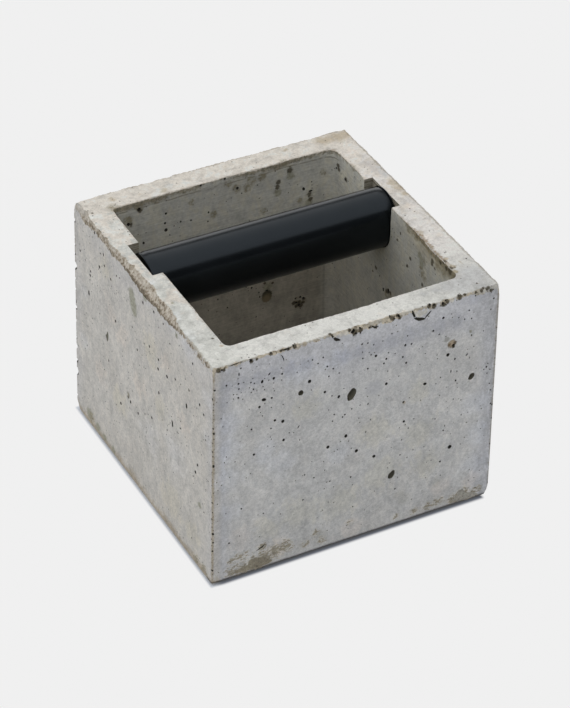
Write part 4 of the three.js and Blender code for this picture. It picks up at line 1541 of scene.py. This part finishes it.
# %% Broken mortar
SAND_STOPS = (
    (0.30, (0.15, 0.115, 0.068)), (0.40, (0.30, 0.245, 0.170)), (0.48, (0.46, 0.395, 0.310)),
    (0.56, (0.56, 0.50, 0.415)), (0.70, (0.70, 0.65, 0.57)),
)
PALE_CRUMB, CRUMB_PIT = (0.60, 0.53, 0.41), (0.20, 0.155, 0.09)
NEVER_ZERO = 0.01
band_place = to_side / (finish.larger(to_side, 0.0) + below_rim + NEVER_ZERO)
left_band = finish.fade(place_x, -68, -71) * finish.fade(below_rim, 8, 6)
middle_third = finish.fade(finish.size(place_y + 8), 34, 24)
lower_edge_shade = finish.fade(band_place, 0.30, 0.02) * (0.10 + 0.16 * middle_third)
upper_edge = 0.2 * finish.fade(band_place, 0.84, 1.0) * finish.fade(place_y, -36, -44)
# Painted shade: the sand is darker along the lower edge of the left band and further below the rim.
sand_value = (finish.cloud(place, 1.5, 3.0, 0.6) + 0.30 * (smears - 0.5)
              + left_band * (0.02 - lower_edge_shade - upper_edge) - 0.10 * finish.fade(below_rim, 6, 9))
sand = finish.node("ValToRGB", {"stops": SAND_STOPS}, {0: sand_value})
front_crumbs = finish.fade(place_y, -71, -73) * finish.fade(below_rim, 6, 4.5)
pale_crumbs = finish.shade(PALE_CRUMB, -0.05 + 0.9 * fine + 1.2 * crumbs)
pits = finish.fade(finish.cloud(place, 1.3, 3.0, 0.65) + 0.2 * (clouds - 0.5), 0.46, 0.38)
sand = finish.paint(sand, finish.paint(pale_crumbs, CRUMB_PIT, pits * 0.85), front_crumbs)
far_side = finish.larger(finish.fade(place_x, 60, 70), finish.fade(place_y, 60, 70))
far_side = far_side * finish.fade(below_rim, 4, 2)
near_lip = finish.fade(from_cavity, 4, 3) * finish.fade(below_rim, 3, 1.5)
sand = finish.paint(sand, finish.shade(rim_colour, rim_grain), finish.larger(far_side * 0.8, near_lip * 0.6))
colour = finish.paint(colour, sand, broken * 0.92)
colour = finish.paint(colour, finish.shade(PALE, 0.4 + 1.2 * fine), stain_masks[PALE])
# Painted shade: the dark marks are painted again over the crumbs of the front arris.
colour = finish.paint(colour, speckled(DARK_STAIN_AND_SHADE), stain_masks[DARK_STAIN_AND_SHADE] * front_crumbs)

# %% Cut places
BROWN_BARE, GREY_BARE = (0.345, 0.305, 0.23), (0.42, 0.395, 0.345)
PORE_DIRT_AND_SHADE, CRACK_SHADE, SCRATCH = (0.030, 0.027, 0.020), (0.030, 0.026, 0.018), (0.46, 0.41, 0.34)
PORE_LIT, PORE_SHADED = (0.17, 0.16, 0.12), (0.035, 0.03, 0.02)
SEAT_DARK, SEAT_PALE = (0.20, 0.18, 0.13), (0.44, 0.41, 0.34)
bare = finish.paint(BROWN_BARE, GREY_BARE, finish.fade(place_x, 20, 40))
bare = finish.shade(bare, 1.5 * mottle - 0.45)
colour = finish.paint(colour, bare, finish.mark("is_peeled"))
# Pores and cracks are painted nearly black: painted shade inside them, with some dirt in the pores.
colour = finish.paint(colour, PORE_DIRT_AND_SHADE, finish.mark("is_pore") * 0.97)
pore_turn = finish.mark("turned_right") + fine - 0.5
pore_colour = finish.paint(PORE_LIT, PORE_SHADED, finish.fade(pore_turn, -0.25, 0.35))
colour = finish.paint(colour, pore_colour, finish.mark("is_wide_pore"))
colour = finish.paint(colour, CRACK_SHADE, finish.mark("is_crack"))
colour = finish.paint(colour, SCRATCH, finish.mark("is_scratch"))
seat_streaks = finish.fade(streaks + 0.4 * (fine - 0.5), 0.34, 0.62)
colour = finish.paint(colour, finish.paint(SEAT_DARK, SEAT_PALE, seat_streaks), finish.mark("is_seat"))

# %% Pin holes
PIN_SPACING, LARGEST_PIN, PIN_HOLE_SHADE = 2.2, 0.23, (0.10, 0.088, 0.066)
cells = finish.node("TexVoronoi", {}, {"Vector": place, "Scale": 1 / PIN_SPACING}, output="Distance")
chance = finish.node("TexWhiteNoise", {}, {"Vector": cells.beside("Position")}, output="Value")
pin_size = finish.fade(chance + 0.5 * (clouds - 0.5) + 0.05 * on_left, 0.62, 1.0) * LARGEST_PIN
pins = finish.fade(cells, pin_size, pin_size * 0.5) * (1 - broken)
# Painted shade: each pin hole is a dark spot, and the bump below dents it.
colour = finish.paint(colour, PIN_HOLE_SHADE, pins * 0.9)
print("concrete nodes:", len(finish.tree.nodes))

# %% Close the concrete
height = 0.5 * grain + 0.9 * fine - 1.2 * pins + 0.5 * on_rim * smears - 1.6 * flaked
relief = finish.bump(height, 0.6, 0.14)
rubble_height = finish.cloud(place, 0.95, 4.0, 0.7) * (broken + finish.mark("is_peeled") * 0.6)
rubble = finish.bump(rubble_height, 1.0, 0.7, relief)
roughness = 0.82 - 0.14 * on_rim + 0.06 * fine
concrete = finish.close(Base_Color=colour, Roughness=roughness, Normal=rubble)
body.data.materials.append(concrete)

# %% [markdown]
# ## The knock bar's sleeve
#
# The bar is a steel tube in a thick sleeve of black rubber with an upright oval section. The sleeve is
# built ring by ring along its length, with soft ends, and it is kept slightly uneven as moulded rubber is.


# %% Sections of the sleeve
def oval(radius, rise, steps):
    """An upright oval section as (y, z) pairs: two half circles joined by short straight sides."""
    section = []
    for start, middle in ((0, rise), (math.pi, -rise)):
        for k in range(steps):
            angle = start + math.pi * k / (steps - 1)
            section.append((radius * math.cos(angle), middle + radius * math.sin(angle)))
    return section


tube_low, tube_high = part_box("bar_tube")
BORE_RADIUS = (tube_high.y - tube_low.y) / 2 + SEAT_GAP
HALF_BAR = sleeve_high.x
EDGE, BORE_EDGE = 0.8 * MM, 0.4 * MM
EDGE_TURN = np.radians([0, 22.5, 45, 67.5, 90])
SLEEVE_STEP, HALF_SECTION_STEPS = 2.5 * MM, 33
UNEVENNESS = 0.0035


def outer_row(x, inset=0.0):
    """The sleeve's slightly uneven outside at a place along it."""
    row = []
    for y, z in oval(BAR_RADIUS - inset, BAR_RISE, HALF_SECTION_STEPS):
        sag = 1 - UNEVENNESS * (0.5 + 0.5 * rough((x, y, z), 16 * MM, 20))
        row.append((x, BAR_Y + y * sag, BAR_Z + z * sag))
    return row


def bore_row(x, outset=0.0):
    return [(x, BAR_Y + y, BAR_Z + z) for y, z in oval(BORE_RADIUS + outset, 0, HALF_SECTION_STEPS)]


# %% Sleeve
# The rows of each rounding don't all follow one another along the bar, which leaves a fold less than 1 mm
# deep at each end.
rows = []
for turn in EDGE_TURN:
    back, inset = rounding(EDGE, turn)
    rows.append(outer_row(-HALF_BAR + back, inset))
for x in steps_between(-HALF_BAR + EDGE, HALF_BAR - EDGE, SLEEVE_STEP)[1:-1]:
    rows.append(outer_row(x))
for turn in EDGE_TURN[::-1]:
    back, inset = rounding(EDGE, turn)
    rows.append(outer_row(HALF_BAR - back, inset))
rows += [
    bore_row(HALF_BAR, BORE_EDGE), bore_row(HALF_BAR - BORE_EDGE),
    bore_row(-HALF_BAR + BORE_EDGE), bore_row(-HALF_BAR, BORE_EDGE),
]
count = len(rows[0])
last = (len(rows) - 1) * count
faces = strip_faces(len(rows), count)
faces += [(last + c, last + (c + 1) % count, (c + 1) % count, c) for c in range(count)]
sleeve = mesh_object("bar_sleeve_rubber", [p for row in rows for p in row], faces)

SAME_POINT = 1e-6
SLEEVE_SHARP = math.radians(40)
weld = bmesh.new()
weld.from_mesh(sleeve.data)
bmesh.ops.remove_doubles(weld, verts=weld.verts, dist=SAME_POINT)
weld.to_mesh(sleeve.data)
weld.free()
sleeve.data.shade_smooth()
sleeve.data.set_sharp_from_angle(angle=SLEEVE_SHARP)
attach(sleeve, "knock_bar")
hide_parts("bar_sleeve")
print("sleeve:", len(sleeve.data.polygons), "faces")

# %% [markdown]
# ## Rubber, steel and plastic
#
# The sleeve is satin black rubber with a hint of blue. Its colour is almost nothing but its own
# reflections, so its roughness matters more than its colour. Fine moulding grain and a few handling marks
# vary the gloss. The tube end, the plugs and the pads only show when the bar is lifted or the box is turned
# over.

# %% Sleeve rubber
BLACK_RUBBER, HAZY_RUBBER, COOL_SHEEN = (0.0022, 0.0030, 0.0037), (0.0045, 0.0056, 0.0066), (0.74, 0.87, 1.0)
finish = new_finish("sleeve_rubber")
place = finish.place()
wipe = finish.cloud(finish.stretch(place, (0.08, 1, 1)), 2.0, 3.0, 0.6)
haze = finish.cloud(place, 18, 3.0, 0.6)
speck = finish.cloud(place, 0.4, 2.0, 0.7)
colour = finish.paint(BLACK_RUBBER, HAZY_RUBBER, finish.fade(haze, 0.35, 0.7))
roughness = 0.18 + 0.05 * wipe + 0.04 * haze
relief = finish.bump(speck + 0.6 * wipe, 0.26, 0.03)
rubber = finish.close(
    Base_Color=colour, Roughness=roughness, Normal=relief, Specular_IOR_Level=0.3,
    Specular_Tint=COOL_SHEEN)
sleeve.data.materials.append(rubber)

# %% Tube steel
DULL_STEEL, BRIGHT_STEEL = (0.50, 0.50, 0.49), (0.62, 0.62, 0.61)
finish = new_finish("tube_steel")
place = finish.place()
brushed = finish.cloud(finish.stretch(place, (3.0, 0.2, 0.2)), 1.2, 4.0, 0.7)
colour = finish.paint(DULL_STEEL, BRIGHT_STEEL, brushed)
steel = finish.close(
    Base_Color=colour, Metallic=1.0, Roughness=0.26 + 0.16 * brushed, Normal=finish.bump(brushed, 0.2, 0.02))

# %% Plug plastic
BLACK_PLASTIC, GREYER_PLASTIC = (0.014, 0.014, 0.015), (0.022, 0.022, 0.023)
finish = new_finish("plug_plastic")
place = finish.place()
stipple = finish.cloud(place, 0.35, 2.0, 0.6)
colour = finish.paint(BLACK_PLASTIC, GREYER_PLASTIC, finish.cloud(place, 3, 2.0, 0.5))
plastic = finish.close(
    Base_Color=colour, Roughness=0.48 + 0.1 * stipple, Normal=finish.bump(stipple, 0.35, 0.04))

# %% Pad rubber
DARK_PAD, SCUFFED_PAD = (0.018, 0.018, 0.018), (0.045, 0.043, 0.040)
finish = new_finish("pad_rubber")
place = finish.place()
scuff = finish.cloud(place, 2.6, 4.0, 0.7)
colour = finish.paint(DARK_PAD, SCUFFED_PAD, finish.fade(scuff, 0.45, 0.75))
pad_rubber = finish.close(
    Base_Color=colour, Roughness=0.68 + 0.2 * scuff, Normal=finish.bump(scuff, 0.4, 0.06))

# %% Dress the carried-over solids
DRESS = {"bar_tube": steel, "bar_plug_left": plastic, "bar_plug_right": plastic}
DRESS.update({name: pad_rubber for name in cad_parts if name.startswith("foot_pad")})
for name, material in DRESS.items():
    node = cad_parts[name]
    node.data.materials.clear()
    node.data.materials.append(material)
print("dressed:", ", ".join(DRESS))

# %% [markdown]
# ## Floor and light
#
# The photograph has a pale even ground and one broad soft light from above. The floor is a plain pale
# plane. For the camera and for reflections it shows a flat pale tone with the object's shadow in it, and
# for everything else it is a plain pale surface that throws light back up on the walls.

# %% Floor
# The ground's shadow fades with the distance from the foot of the box, which leaves a thin dark line of
# contact round it.
GROUND_TONE = 0.871
DEEP_SHADOW, FAINT_SHADOW, PALE_GROUND = (0.17, 0.20, 0.27), (0.66, 0.71, 0.80), (0.82, 0.86, 0.90)
bpy.ops.mesh.primitive_plane_add(size=12, location=(0, 0, 0))
floor = bpy.context.object
floor.name = "floor"
finish = new_finish("floor_pale")
seen = finish.node("LightPath", output="Is Camera Ray")
direct = finish.smaller(seen + seen.beside("Is Glossy Ray") + seen.beside("Is Transmission Ray"), 1.0)
place_x, place_y, _ = finish.parts(finish.place())
beyond_x = finish.larger(finish.size(place_x) + 4 * finish.fade(place_x, 0, 1) - base_high.x / MM, 0.0)
beyond_y = finish.larger(finish.size(place_y) - base_high.y / MM, 0.0)
away = (beyond_x * beyond_x + beyond_y * beyond_y) ** 0.5
left_side = finish.fade(place_x, -70, -76)
clear = finish.fade(away / (2.1 - 0.6 * left_side), -0.20 - 0.15 * left_side, 1.0)
shadowed = finish.paint(DEEP_SHADOW, FAINT_SHADOW, left_side)
shadowed = finish.paint(PALE_GROUND, shadowed, direct)
surface = finish.node("BsdfDiffuse", {}, {"Color": shadowed})
glow = finish.node("Emission", {}, {"Color": (GROUND_TONE, GROUND_TONE, GROUND_TONE), "Strength": 1.0})
mixed = finish.node("MixShader", {}, {0: direct * clear, 1: surface, 2: glow})
finish.node("OutputMaterial", {}, {"Surface": mixed})
floor.data.materials.append(finish.owner)

# %% World
# What the room's light is, by direction. The camera sees the room in the ground's own tone.
world = bpy.data.worlds.new("studio")
bpy.context.scene.world = world
finish = Finish(world)
_, back, upward = finish.parts(finish.node("TexCoord", output="Generated"))
behind = finish.larger(back, 0.0)
sky = 0.13 + 0.10 * behind + (0.72 + 0.30 * behind) * finish.fade(upward - 0.24 * behind, 0.17, 0.08)
seen = finish.node("LightPath", output="Is Camera Ray")
light = sky + seen * (GROUND_TONE - sky)
background = finish.node("Background", {}, {"Color": light, "Strength": 1.0})
finish.node("OutputWorld", {}, {"Surface": background})


# %% Lamps
def softbox(name, place, aim, width, height, radiance):
    """An area light of a given radiance, at which a white surface right under it would be as bright."""
    lamp = bpy.data.lights.new(name, "AREA")
    lamp.shape = "RECTANGLE"
    lamp.size, lamp.size_y = width, height
    lamp.energy = radiance * math.pi * width * height
    thing = bpy.data.objects.new(name, lamp)
    thing.location = place
    thing.rotation_euler = (Vector(aim) - Vector(place)).to_track_quat("-Z", "Y").to_euler()
    thing.visible_camera = False
    bpy.context.scene.collection.objects.link(thing)


softbox("overhead", (-0.22, 0.13, 1.15), (-0.22, 0.131, 0.0), 2.4, 2.5, 1.20)
bpy.context.scene.view_settings.view_transform = "Standard"

# %% The end
bpy.context.view_layer.update()
